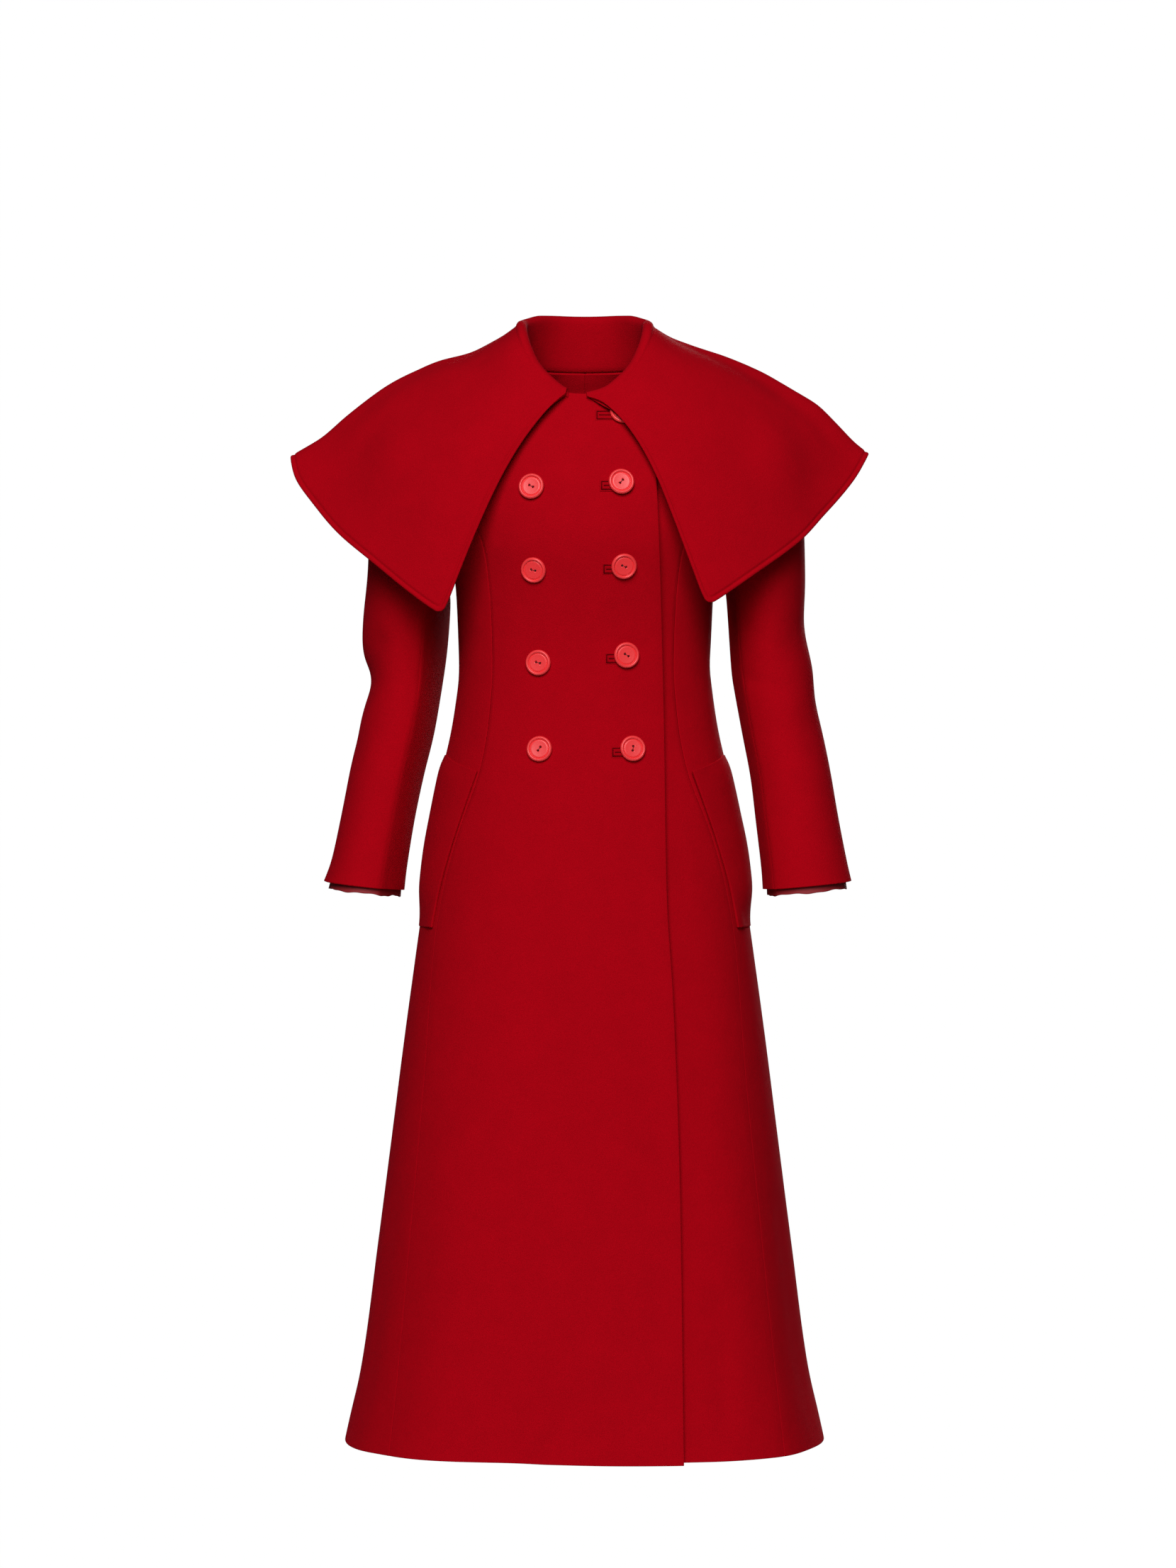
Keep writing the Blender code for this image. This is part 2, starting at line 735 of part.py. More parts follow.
def make_cuff_lining(name, side, material, collection):
    """Band of lining inside the cuff, which shows just below it."""
    rows = []
    for step in range(LINING_ROWS + 1):
        down = step / LINING_ROWS
        row = []
        for column in range(LINING_COLUMNS + 1):
            turn = math.tau * column / LINING_COLUMNS
            share = mix(LINING_START, 1.0, down)
            point = sleeve_point(side, turn, share)
            centre = (sleeve_point(side, 0.0, share) + sleeve_point(side, math.pi, share)) / 2.0
            inward = (centre - point).normalized()
            point += inward * (CLOTH + LINING_GAP)
            point.z -= LINING_SHOWS * ease(down)
            row.append(point)
        row[-1] = row[0].copy()
        rows.append(row)
    rows.reverse()
    if side < 0:
        for row in rows:
            row.reverse()
    return cloth_sheet(name, rows, LINING_CLOTH, material, collection, tube=True)


def neckline_point(around):
    """Point of the neckline at an angle round the neck from the front."""
    x = NECK_HALF_WIDTH * math.sin(around)
    front_share = max(math.cos(around), 0.0)
    z = NECK_SIDE_Z + (NECK_FRONT_Z - NECK_SIDE_Z) * front_share
    return body_point(angle_at(x, z, math.cos(around) < 0.0), z)


def roll_centre(around):
    """Centre of the collar's roll, at an angle round the neck from the front."""
    degrees = math.degrees(around)
    outward = Vector((math.sin(around), -math.cos(around), 0.0))
    offset = STAND_OFFSET + read(COLLAR_STAND, degrees, 3) - read(COLLAR_STAND, degrees, 2)
    point = neckline_point(around) + outward * offset
    point.z += COLLAR_SEAM_GAP + read(COLLAR_STAND, degrees, 1)
    return point


def oval_reach(point, height, clearance):
    """Where a point lies against the body's section: under 1 is inside."""
    half_width, front, back, fullness = body_section(height)
    depth = front if point.y < 0.0 else back
    across = (abs(point.x) / (half_width + clearance)) ** fullness
    forward = (abs(point.y) / (depth + clearance)) ** fullness
    return max((across + forward) ** (1.0 / fullness), 0.001)


def soft_push(reach, softness):
    """Factor that carries an inside point out to 1 without a kink."""
    pushed = 0.5 * (reach + 1.0 + math.sqrt((reach - 1.0) ** 2 + softness**2))
    return pushed / reach


def lift_over_shoulder(point, clearance):
    """Raise a collar point that would lie closer to the shoulder's slope than its clearance."""
    low = SHOULDER_TIP_Z - 0.03
    high = NECK_SIDE_Z
    if oval_reach(point, low, 0.0) >= 1.0:
        return point
    for _ in range(24):
        middle = (low + high) / 2.0
        if oval_reach(point, middle, 0.0) < 1.0:
            low = middle
        else:
            high = middle
    least = low + clearance
    above = point.z - least
    raised = least + 0.5 * (above + math.sqrt(above * above + SHOULDER_SOFTNESS**2))
    return Vector((point.x, point.y, raised))


def push_off_form(point, clearance):
    """Carry a collar point out of the body and of the sleeve head below it."""
    point = lift_over_shoulder(point, clearance)
    strength = ease((SHOULDER_TIP_Z + SHOULDER_PUSH_ABOVE - point.z) / SHOULDER_PUSH_BLEND)
    scale = mix(1.0, soft_push(oval_reach(point, point.z, clearance), BODY_SOFTNESS), strength)
    point = Vector((point.x * scale, point.y * scale, point.z))
    centre = Vector(SLEEVE_HEAD_CENTRE)
    away = point - centre
    reach = math.sqrt(sum((away[i] / SLEEVE_HEAD_RADII[i]) ** 2 for i in range(3)))
    return centre + away * soft_push(max(reach, 0.05), SLEEVE_HEAD_SOFTNESS)


def collar_fall(side, around, share):
    """A point of the collar's outer surface, from the roll to its outer edge."""
    table = COLLAR_LEFT if side > 0 else COLLAR_RIGHT
    shoulder_line = SHOULDER_LINE_LEFT if side > 0 else SHOULDER_LINE_RIGHT
    degrees = math.degrees(around)
    edge = Vector(tuple(read(table, degrees, column) for column in (1, 2, 3)))
    sway, belly, shoulder = (read(table, degrees, column) for column in (4, 5, 6))
    outward = Vector((math.sin(around), -math.cos(around), 0.0))
    start = roll_centre(around) + outward * read(COLLAR_STAND, degrees, 3)
    point = mix(start, edge, share)
    along = (edge - start).normalized()
    level = outward.cross(Vector((0.0, 0.0, 1.0)))
    normal = level.cross(along).normalized()
    if normal.dot(outward) < 0.0:
        normal.negate()
    point += normal * belly * math.sin(math.pi * share**0.8)
    point += Vector((0.0, 0.0, shoulder * read(shoulder_line, share, 1)))
    point.x += sway * math.sin(math.pi * share**0.65)
    clearance = mix(COLLAR_NECK_CLEARANCE, COLLAR_CLEARANCE, ease(share / NECK_CLEARANCE_SHARE))
    pushed = push_off_form(point, clearance)
    return mix(point, pushed, ease(share / NECK_FREE_SHARE))


def collar_profile(side, around):
    """Outer-surface points from the seam at the neck, up the stand, over the roll, to the edge."""
    centre = roll_centre(around)
    radius = read(COLLAR_STAND, math.degrees(around), 3)
    outward = Vector((math.sin(around), -math.cos(around), 0.0))
    foot = neckline_point(around) + outward * STAND_OFFSET
    foot.z += COLLAR_SEAM_GAP
    top = centre - outward * radius
    points = [mix(foot, top, step / STAND_ROWS) for step in range(STAND_ROWS)]
    for step in range(ROLL_STEPS + 1):
        turn = math.pi * (1.0 - step / ROLL_STEPS)
        points.append(centre + outward * radius * math.cos(turn)
                      + Vector((0.0, 0.0, radius * math.sin(turn))))
    for step in range(1, COLLAR_ROWS + 1):
        points.append(collar_fall(side, around, (step / COLLAR_ROWS) ** COLLAR_CROWDING))
    return [Vector((point.x * side, point.y, point.z)) for point in points]


def make_collar(material, collection):
    """One collar from the right front end round the back to the left front end."""
    half = COLLAR_COLUMNS // 2
    profiles = []
    for column in range(half):
        around = math.radians(mix(COLLAR_RIGHT[0][0], 180.0, column / half))
        profiles.append(collar_profile(-1, around))
    for column in range(half + 1):
        around = math.radians(mix(180.0, COLLAR_LEFT[0][0], column / half))
        profiles.append(collar_profile(1, around))
    profiles.reverse()
    return cloth_sheet("collar", profiles, COLLAR_CLOTH, material, collection)


def make_pocket(name, side, material, collection):
    """Patch pocket on the side panel, between its slanted front edge and the hip."""
    rows = []
    stand_off = 1.0 if side > 0 else 0.6
    for step in range(POCKET_ROWS + 1):
        row = []
        for column in range(POCKET_COLUMNS + 1):
            share = column / POCKET_COLUMNS
            top = mix(POCKET_FRONT_TOP_Z, POCKET_BACK_TOP_Z, min(share * 2.0, 1.0))
            z = mix(POCKET_BOTTOM_Z, top, step / POCKET_ROWS)
            first = angle_at(read(POCKET_EDGE, z, 1) + 2.0 * HALF_SEAM, z)
            angle = mix(first, math.radians(POCKET_BACK_ANGLE), share) * side
            off = read(POCKET_EDGE, z, 2) * math.sin(math.pi * share) ** 0.7 * stand_off
            point = body_point(angle, z) + body_normal(angle, z) * (CLOTH + LAID_GAP + off)
            row.append(point)
        if side < 0:
            row.reverse()
        rows.append(row)
    return cloth_sheet(name, rows, CLOTH, material, collection)


def carrier_tree(piece):
    """The finished surface of a piece, for seating others on it."""
    graph = bpy.context.evaluated_depsgraph_get()
    return BVHTree.FromObject(piece, graph)


def drop_onto(carriers, point, outward):
    """Distance from a point outside down to the nearest carrier below it."""
    start = point + outward * SEAT_REACH
    reaches = []
    for tree in carriers:
        distance = tree.ray_cast(start, -outward, 2.0 * SEAT_REACH)[3]
        if distance is not None:
            reaches.append(distance - SEAT_REACH)
    return min(reaches)


def seat_lift(carriers, point, outward):
    """How far to move a button along its axis so that its base rests just clear of its carriers."""
    across = outward.orthogonal().normalized()
    other = outward.cross(across)
    drops = [drop_onto(carriers, point, outward)]
    for step in range(SEAT_SAMPLES):
        turn = math.tau * step / SEAT_SAMPLES
        for ring in SEAT_RINGS:
            spot = point + (across * math.cos(turn) + other * math.sin(turn)) * BUTTON_RADIUS * ring
            drops.append(drop_onto(carriers, spot, outward))
    return SEAT_GAP - min(drops)


def make_button(name, x, z, carriers, material, collection):
    """Turned button with a rounded rim and a dished middle."""
    profile = (
        (0.0, BUTTON_DISH),
        (BUTTON_RADIUS * 0.66, BUTTON_DISH),
        (BUTTON_RADIUS * 0.76, BUTTON_RIM * 0.92),
        (BUTTON_RADIUS * 0.86, BUTTON_RIM),
        (BUTTON_RADIUS * 0.97, BUTTON_RIM * 0.78),
        (BUTTON_RADIUS, BUTTON_RIM * 0.42),
        (BUTTON_RADIUS * 0.93, 0.0003),
        (BUTTON_RADIUS * 0.80, 0.0),
        (0.0, 0.0),
    )
    form = bmesh.new()
    corners = [form.verts.new((radius, 0.0, height)) for radius, height in profile]
    for first, second in zip(corners, corners[1:]):
        form.edges.new((first, second))
    mesh = bpy.data.meshes.new(name)
    form.to_mesh(mesh)
    form.free()
    button = new_object(name, mesh, material, collection)
    turned = button.modifiers.new("Turned", "SCREW")
    turned.axis = "Z"
    turned.steps = BUTTON_STEPS
    turned.render_steps = BUTTON_STEPS
    turned.use_merge_vertices = True
    turned.merge_threshold = 0.00001
    point, outward = outer_front_point(x, z)
    button.location = point + outward * seat_lift(carriers, point, outward)
    button.rotation_mode = "QUATERNION"
    button.rotation_quaternion = outward.to_track_quat("Z", "Y")
    return button


def make_welt(name, x, z, carriers, material, collection):
    """Bound buttonhole: a narrow strip on the panel, from beside the button to under it."""
    rows = []
    for step in range(2):
        row = []
        for column in range(WELT_COLUMNS + 1):
            at_x = x - WELT_START + WELT_LENGTH * column / WELT_COLUMNS
            at_z = z - WELT_DROP + WELT_HEIGHT * (step - 0.5)
            point, outward = outer_front_point(at_x, at_z)
            lift = WELT_CLOTH + WELT_GAP - drop_onto(carriers, point, outward)
            row.append(point + outward * lift)
        rows.append(row)
    return cloth_sheet(name, rows, WELT_CLOTH, material, collection)


def build():
    """Make every piece of the coat."""
    clear_scene()
    coat = bpy.data.collections.new("pilgrim_collar_coat")
    bpy.context.scene.collection.children.link(coat)
    red_wool = (0.37, 0.003, 0.008)
    front = make_front_right(make_material("front_right_wool", red_wool, 0.9), coat)
    make_front_left(make_material("front_left_wool", red_wool, 0.9), coat)
    for side_name, side in (("right", -1), ("left", 1)):
        make_side(f"side_{side_name}", side, make_material(f"side_{side_name}_wool", red_wool, 0.9), coat)
        make_back(f"back_{side_name}", side, make_material(f"back_{side_name}_wool", red_wool, 0.9), coat)
        seam = FRONT_SLEEVE_SEAM[side_name]
        make_sleeve_piece(f"sleeve_top_{side_name}", side, seam, BACK_SLEEVE_SEAM, TOP_SLEEVE_COLUMNS,
                          make_material(f"sleeve_top_{side_name}_wool", red_wool, 0.9), coat)
        make_sleeve_piece(f"sleeve_under_{side_name}", side, BACK_SLEEVE_SEAM, seam + 360.0,
                          UNDER_SLEEVE_COLUMNS,
                          make_material(f"sleeve_under_{side_name}_wool", red_wool, 0.9), coat)
        make_pocket(f"pocket_{side_name}", side,
                    make_material(f"pocket_{side_name}_wool", red_wool, 0.9), coat)
        make_cuff_lining(f"cuff_lining_{side_name}", side,
                         make_material(f"cuff_lining_{side_name}_cloth", (0.33, 0.004, 0.01), 0.6), coat)
    make_collar(make_material("collar_wool", red_wool, 0.9), coat)
    coral = (0.87, 0.04, 0.045)
    panel = carrier_tree(front)
    for number, (x, z) in enumerate(BUTTONS_RIGHT_COLUMN, start=1):
        name = f"button_right_column_{number}"
        make_button(name, x, z, [panel], make_material(f"{name}_plastic", coral, 0.35), coat)
    for number, (x, z) in enumerate(BUTTONS_LEFT_COLUMN):
        welt_name = f"buttonhole_{number}"
        welt = make_welt(welt_name, x, z, [panel], make_material(f"{welt_name}_wool", red_wool, 0.9), coat)
        name = f"button_left_column_{number}"
        carriers = [panel, carrier_tree(welt)]
        make_button(name, x, z, carriers, make_material(f"{name}_plastic", coral, 0.35), coat)


build()
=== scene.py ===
"""Pilgrim collar coat: the cloth, buttons, light and camera that the coat is shown with.

Metres, +Z up, the front faces -Y and the wearer's right side is at -X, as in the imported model.
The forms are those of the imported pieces, drawn finer, with seams, turned edges and soft folds.
"""

import math

import bmesh
import bpy
from mathutils import Matrix, Vector


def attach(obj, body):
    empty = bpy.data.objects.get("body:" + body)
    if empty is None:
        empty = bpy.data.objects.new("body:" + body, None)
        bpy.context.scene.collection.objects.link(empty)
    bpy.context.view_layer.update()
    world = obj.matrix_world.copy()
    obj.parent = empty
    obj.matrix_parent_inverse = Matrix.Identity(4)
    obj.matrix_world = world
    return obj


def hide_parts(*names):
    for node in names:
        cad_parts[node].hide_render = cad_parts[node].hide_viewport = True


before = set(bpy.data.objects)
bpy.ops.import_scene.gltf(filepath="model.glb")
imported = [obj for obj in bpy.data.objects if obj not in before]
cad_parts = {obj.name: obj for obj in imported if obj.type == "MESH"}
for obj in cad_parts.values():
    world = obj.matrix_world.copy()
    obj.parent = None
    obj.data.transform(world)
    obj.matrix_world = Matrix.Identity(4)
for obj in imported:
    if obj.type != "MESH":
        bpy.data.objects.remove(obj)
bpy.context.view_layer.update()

# Cloth and seams
CLOTH = 0.003
COLLAR_CLOTH = 0.0050
LINING_CLOTH = 0.001
SEAM_LAP = 0.0004
SLEEVE_LAP_DEGREES = 0.3
SHOULDER_HALF_SEAM = 0.0002
SEAM_DIP = 0.0009
SEAM_WIDTH = 0.0025
PRESSED_SHARE = 0.10
PRESSED_BELOW_Z = -0.62
PRESSED_BLEND = 0.15
LAID_GAP = 0.0006
LINING_GAP = 0.0018
CUFF_LINING_TOP = 0.93
CUFF_LINING_SHOWS = 0.007
CUFF_LINING_WAVE = 0.0007
LINING_WAVES = 5.0
LINING_RIPPLES = 13.0
LINING_RIPPLE = 0.6
LINING_RIPPLE_TURN = 2.0
UNDERLAP_DROP = CLOTH + 0.0030
UNDERLAP_NECK_DROP = 0.0015
UNDERLAP_RISE_START = 0.004
UNDERLAP_BLEND = 0.055
UNDERLAP_NECK_BLEND = 0.06
OVERLAP_LIFT = 0.0025
OVERLAP_LIFT_WIDTH = 0.03
OVERLAP_LIFT_HEIGHT = 0.1

# Main heights
HEM_Z = -1.122
OUTER_HEM_EXTRA = 0.003
OUTER_HEM_ROWS = 3
OUTER_HEM_FROM_X = -0.12
OUTER_HEM_BLEND = 0.15
NECK_FRONT_Z = -0.0618
NECK_EDGE_Z = -0.0575
NECK_SIDE_Z = -0.022
NECK_HALF_WIDTH = 0.066
SHOULDER_TIP_Z = -0.055
NECK_SHARE = 0.45
YOKE_CROWDING = 1.7

# Armhole, an oval seen from the side
ARMHOLE_Z = -0.140
ARMHOLE_HALF_HEIGHT = 0.085
ARMHOLE_HALF_DEPTH = 0.062
SLEEVE_HEAD_GAP = 0.0012
INNER_TURN = math.radians(-105.0)
INNER_FLATNESS = 0.75
FLAT_FROM_SHARE = 0.25
SIDE_TOP_BELOW = 0.2

# Collar, how it stands at the neck and lies over the shoulders
STAND_OFFSET = -0.0033
COLLAR_SEAM_GAP = -0.0012
COLLAR_NECK_CLEARANCE = 0.0070
COLLAR_CLEARANCE = 0.0130
SLEEVE_HEAD_CENTRE = (0.160, 0.0, -0.160)
SLEEVE_HEAD_RADII = (0.080, 0.090, 0.104)
SHOULDER_SOFTNESS = 0.006
BODY_SOFTNESS = 0.04
SLEEVE_HEAD_SOFTNESS = 0.06
SHOULDER_PUSH_ABOVE = 0.012
SHOULDER_PUSH_BLEND = 0.02
NECK_CLEARANCE_SHARE = 0.06
NECK_FREE_SHARE = 0.04
RIGHT_SWAY_POWER = 0.65
LEFT_SWAY_POWER = 0.5
DITCH_START = 0.02
DITCH_GROWTH = 0.05
EDGE_DITCH_IN = 0.0050
EDGE_DITCH_DEPTH = 0.0014
EDGE_DITCH_WIDTH = 0.0016
TIP_RADIUS = 0.013
TIP_STEPS = 6
BELLY_POWER = 0.8

# Buttons and buttonholes
BUTTON_RADIUS = 0.013
BUTTON_TURN_STEPS = 72
BUTTON_SEAT = 0.0004
BUTTON_WELT_SEAT = 0.0012
HOLE_RADIUS = 0.0012
HOLE_APART = 0.0021
THREAD_RADIUS = 0.00045
THREAD_HEIGHT = 0.0024
THREAD_REACH = 0.4
KNOT_RADIUS = THREAD_RADIUS * 1.5
KNOT_HEIGHT = THREAD_HEIGHT * 0.6
CUTTER_LENGTH = 0.02
CUTTER_DROP = 0.005
WELT_LENGTH = 0.0315
WELT_HEIGHT = 0.0120
WELT_START = 0.0215
TOP_WELT_START = 0.0275
WELT_DROP = 0.0036
TOP_WELT_DROP = 0.0021
WELT_CLOTH = 0.0008
WELT_RELIEF = 0.0006
WELT_BLEND = 0.0010
WELT_EDGE_SINK = 0.0004
WELT_DITCH_IN = 0.0020
WELT_LIPS = 0.0005
WELT_LIPS_IN = 0.0022
WELT_SLIT_IN = 0.0035
WELT_SLIT_BLEND = 0.0015
WELT_SEAT = 0.0003
# Dark rods drawn as painted shadow in a buttonhole's ditch and slit: their radii and lift over the cloth
WELT_SHADOW_LINE = 0.00045
WELT_SLIT_SHADOW = 0.00070
WELT_SHADOW_LINE_LIFT = 0.0003

# Mesh steps
SKIRT_STEPS = 58
YOKE_STEPS = 16
FRONT_STEPS = 34
SIDE_STEPS = 24
BACK_STEPS = 24
SLEEVE_STEPS = 60
TOP_SLEEVE_STEPS = 26
UNDER_SLEEVE_STEPS = 14
COLLAR_STEPS = 88
COLLAR_FALL_STEPS = 30
ROLL_STEPS = 8
POCKET_STEPS = 20
LINING_STEPS = 72
SEAM_SHARES = (0.004, 0.010, 0.018, 0.030)
HEM_SHARES = (0.0012, 0.0035, 0.0075)
CUFF_SHARES = (0.003, 0.008)
LINING_SHARES = (0.0, 0.2, 0.4, 0.6, 0.8, 0.92, 1.0)
POCKET_EDGE_SHARES = (0.006, 0.018)
HALVINGS = 40
SHOULDER_HALVINGS = 24
SEAM_SEARCH_BELOW = 0.07
SEAM_SEARCH_ABOVE = 0.02
SEARCH_MARGIN = 0.03
WELT_ALONG_STEPS = 40
WELT_UP_STEPS = 28
WELT_ALONG_SHARES = (0.008, 0.020, 0.040, 0.058, 0.066, 0.085)
WELT_UP_SHARES = (0.012, 0.060, 0.130, 0.180, 0.240)

# Looks, light and camera
WOOL = (0.40, 0.0008, 0.0062)
# Buttonhole welt wool: the coat wool a little darker, as painted shade
WELT_SHADED_WOOL = (0.36, 0.0008, 0.0056)
# Dark wool of the rods that paint the shadow in the buttonhole ditch and slit
SHADOW_WOOL = (0.11, 0.0003, 0.0018)
LINING = (0.24, 0.002, 0.007)
CORAL = (0.87, 0.040, 0.045)
THREAD = (0.12, 0.003, 0.005)
# Lights: place, what they aim at, size, power
KEY_LIGHT = ((-0.30, -3.8, 1.8), (0.0, 0.0, -0.30), 2.2, 174.0)
FILL_LIGHT = ((0.4, -4.6, 0.6), (0.0, 0.0, -0.40), 1.6, 14.0)
BACK_LIGHT = ((0.9, 4.2, 0.7), (0.0, 0.0, -0.55), 2.0, 130.0)
SKY_STRENGTH = 0.05
FLOOR_Z = -1.51
FLOOR_RADIUS = 1.15
BACKDROP_RADIUS = 9.0
LENS = 100.3
SENSOR_HEIGHT = 36.0
CAMERA = (0.0033, -4.5, -0.452)

# Turn of each button's pair of holes, in degrees
HOLE_TURNS_RIGHT = (-28.0, -11.0, -16.0, 54.0)
HOLE_TURNS_LEFT = (0.0, 50.0, -23.0, -31.0, 82.0)

# Body sections: height, half width, front depth, back depth, fullness of the oval
BODY = (
    (-1.122, 0.2460, 0.194, 0.214, 2.90),
    (-1.097, 0.2405, 0.191, 0.209, 2.86),
    (-1.054, 0.2305, 0.186, 0.202, 2.80),
    (-0.922, 0.2125, 0.172, 0.184, 2.62),
    (-0.813, 0.1985, 0.160, 0.170, 2.48),
    (-0.703, 0.1845, 0.148, 0.157, 2.36),
    (-0.616, 0.1725, 0.138, 0.148, 2.28),
    (-0.572, 0.1665, 0.133, 0.143, 2.24),
    (-0.528, 0.1620, 0.128, 0.138, 2.20),
    (-0.484, 0.1555, 0.123, 0.132, 2.20),
    (-0.440, 0.1475, 0.118, 0.124, 2.20),
    (-0.397, 0.1375, 0.113, 0.111, 2.20),
    (-0.353, 0.1315, 0.110, 0.100, 2.20),
    (-0.320, 0.1300, 0.110, 0.096, 2.20),
    (-0.287, 0.1310, 0.113, 0.097, 2.20),
    (-0.243, 0.1335, 0.122, 0.103, 2.20),
    (-0.200, 0.1450, 0.130, 0.110, 2.20),
    (-0.160, 0.1560, 0.127, 0.112, 2.20),
    (-0.120, 0.1650, 0.116, 0.111, 2.15),
    (-0.085, 0.1695, 0.102, 0.105, 1.95),
    (-0.065, 0.1700, 0.092, 0.096, 1.80),
    (-0.055, 0.1680, 0.087, 0.090, 1.80),
    (-0.048, 0.1400, 0.083, 0.086, 1.85),
    (-0.040, 0.1150, 0.078, 0.082, 1.95),
    (-0.032, 0.0920, 0.073, 0.076, 2.00),
    (-0.022, 0.0660, 0.066, 0.070, 2.00),
)

# Front princess seam: height, distance from the centre
FRONT_SEAM = (
    (-1.122, 0.2000),
    (-0.900, 0.1780),
    (-0.750, 0.1630),
    (-0.600, 0.1510),
    (-0.550, 0.1420),
    (-0.500, 0.1280),
    (-0.438, 0.1060),
    (-0.390, 0.0975),
    (-0.330, 0.0935),
    (-0.270, 0.0955),
    (-0.214, 0.1020),
    (-0.180, 0.1160),
    (-0.140, 0.1470),
)

# Back side seam: height, distance from the centre
BACK_SEAM = (
    (-1.122, 0.1750),
    (-0.900, 0.1500),
    (-0.600, 0.1180),
    (-0.438, 0.0980),
    (-0.330, 0.0850),
    (-0.250, 0.0900),
    (-0.190, 0.1120),
    (-0.130, 0.1520),
)

# Overlap edge of the outer front: height, distance to the wearer's left of the centre
OVERLAP_EDGE = (
    (-1.122, 0.0980),
    (-0.856, 0.0947),
    (-0.667, 0.0882),
    (-0.568, 0.0821),
    (-0.377, 0.0790),
    (-0.154, 0.0720),
    (-0.062, 0.0660),
)
UNDERLAP_EDGE = (
    (-1.122, -0.066),
    (-0.200, -0.062),
    (-0.062, -0.040),
)

# Soft skirt folds: degrees from the front, half spread in degrees, depth at the hem, height of the top
SKIRT_FOLDS = (
    (-52.0, 13.0, 0.0060, -0.62),
    (-8.0, 9.0, 0.0050, -0.90),
    (66.0, 12.0, 0.0050, -0.62),
    (118.0, 14.0, 0.0070, -0.55),
    (152.0, 12.0, 0.0060, -0.60),
    (-120.0, 14.0, 0.0070, -0.55),
    (-150.0, 12.0, 0.0060, -0.62),
)

# Sleeves below the armhole: outer distance and height, inner distance and height, centre depth, half depth
SLEEVE_RIGHT = (
    (0.199, -0.077, 0.1425, -0.233, 0.000, 0.067),
    (0.216, -0.116, 0.1410, -0.241, 0.002, 0.071),
    (0.222, -0.170, 0.1380, -0.252, 0.005, 0.073),
    (0.224, -0.232, 0.1365, -0.264, 0.008, 0.072),
    (0.229, -0.282, 0.1375, -0.288, 0.011, 0.067),
    (0.2295, -0.316, 0.1405, -0.320, 0.012, 0.062),
    (0.224, -0.352, 0.1460, -0.356, 0.010, 0.058),
    (0.234, -0.397, 0.1535, -0.401, 0.003, 0.056),
    (0.242, -0.440, 0.1640, -0.445, -0.006, 0.054),
    (0.250, -0.484, 0.1730, -0.490, -0.016, 0.052),
    (0.259, -0.528, 0.1800, -0.536, -0.026, 0.051),
    (0.267, -0.551, 0.1825, -0.561, -0.031, 0.052),
)
SLEEVE_LEFT = (
    (0.199, -0.077, 0.1430, -0.233, 0.000, 0.067),
    (0.217, -0.116, 0.1430, -0.241, 0.002, 0.071),
    (0.225, -0.170, 0.1435, -0.252, 0.005, 0.073),
    (0.2275, -0.232, 0.1450, -0.264, 0.008, 0.072),
    (0.228, -0.284, 0.1470, -0.290, 0.011, 0.067),
    (0.235, -0.331, 0.1500, -0.335, 0.011, 0.061),
    (0.238, -0.355, 0.1535, -0.359, 0.009, 0.059),
    (0.245, -0.397, 0.1610, -0.401, 0.003, 0.056),
    (0.253, -0.440, 0.1690, -0.445, -0.006, 0.054),
    (0.260, -0.484, 0.1740, -0.490, -0.016, 0.052),
    (0.268, -0.528, 0.1790, -0.536, -0.026, 0.052),
    (0.273, -0.551, 0.1805, -0.560, -0.031, 0.053),
)
FRONT_SLEEVE_SEAM = {"right": -25.0, "left": -50.0}
BACK_SLEEVE_SEAM = 200.0

# Collar stand: degrees round the neck from the front, height of the roll, lean to the neck, roll radius
COLLAR_STAND = (
    (0.0, 0.0015, 0.000, 0.0048),
    (15.0, 0.0035, 0.000, 0.0062),
    (28.0, 0.0105, 0.000, 0.0066),
    (45.0, 0.0215, 0.000, 0.0058),
    (60.0, 0.0330, 0.001, 0.0055),
    (76.0, 0.0395, 0.003, 0.0058),
    (90.0, 0.0425, 0.004, 0.0060),
    (110.0, 0.0470, 0.007, 0.0065),
    (130.0, 0.0515, 0.009, 0.0068),
    (155.0, 0.0525, 0.009, 0.0072),
    (180.0, 0.0525, 0.009, 0.0072),
)

# Collar outer edge on each side: degrees round the neck from the front, x, y, z, sway, belly, shoulder
COLLAR_RIGHT = (
    (14.5, 0.1425, -0.138, -0.2852, 0.011, 0.014, 0.0),
    (32.0, 0.1771, -0.122, -0.2599, 0.012, 0.016, 0.1),
    (48.0, 0.2138, -0.100, -0.2295, 0.004, 0.014, 0.4),
    (62.0, 0.2515, -0.068, -0.1976, 0.000, 0.008, 0.7),
    (76.0, 0.2771, -0.038, -0.1676, 0.000, 0.003, 0.9),
    (88.0, 0.3001, -0.010, -0.1344, 0.000, 0.000, 1.0),
    (98.0, 0.3051, 0.012, -0.1125, 0.000, 0.000, 1.0),
    (116.0, 0.2820, 0.062, -0.1370, 0.000, 0.006, 0.8),
    (136.0, 0.2200, 0.108, -0.1860, 0.000, 0.016, 0.4),
    (158.0, 0.1150, 0.134, -0.2250, 0.000, 0.024, 0.1),
    (180.0, 0.0000, 0.142, -0.2400, 0.000, 0.026, 0.0),
)
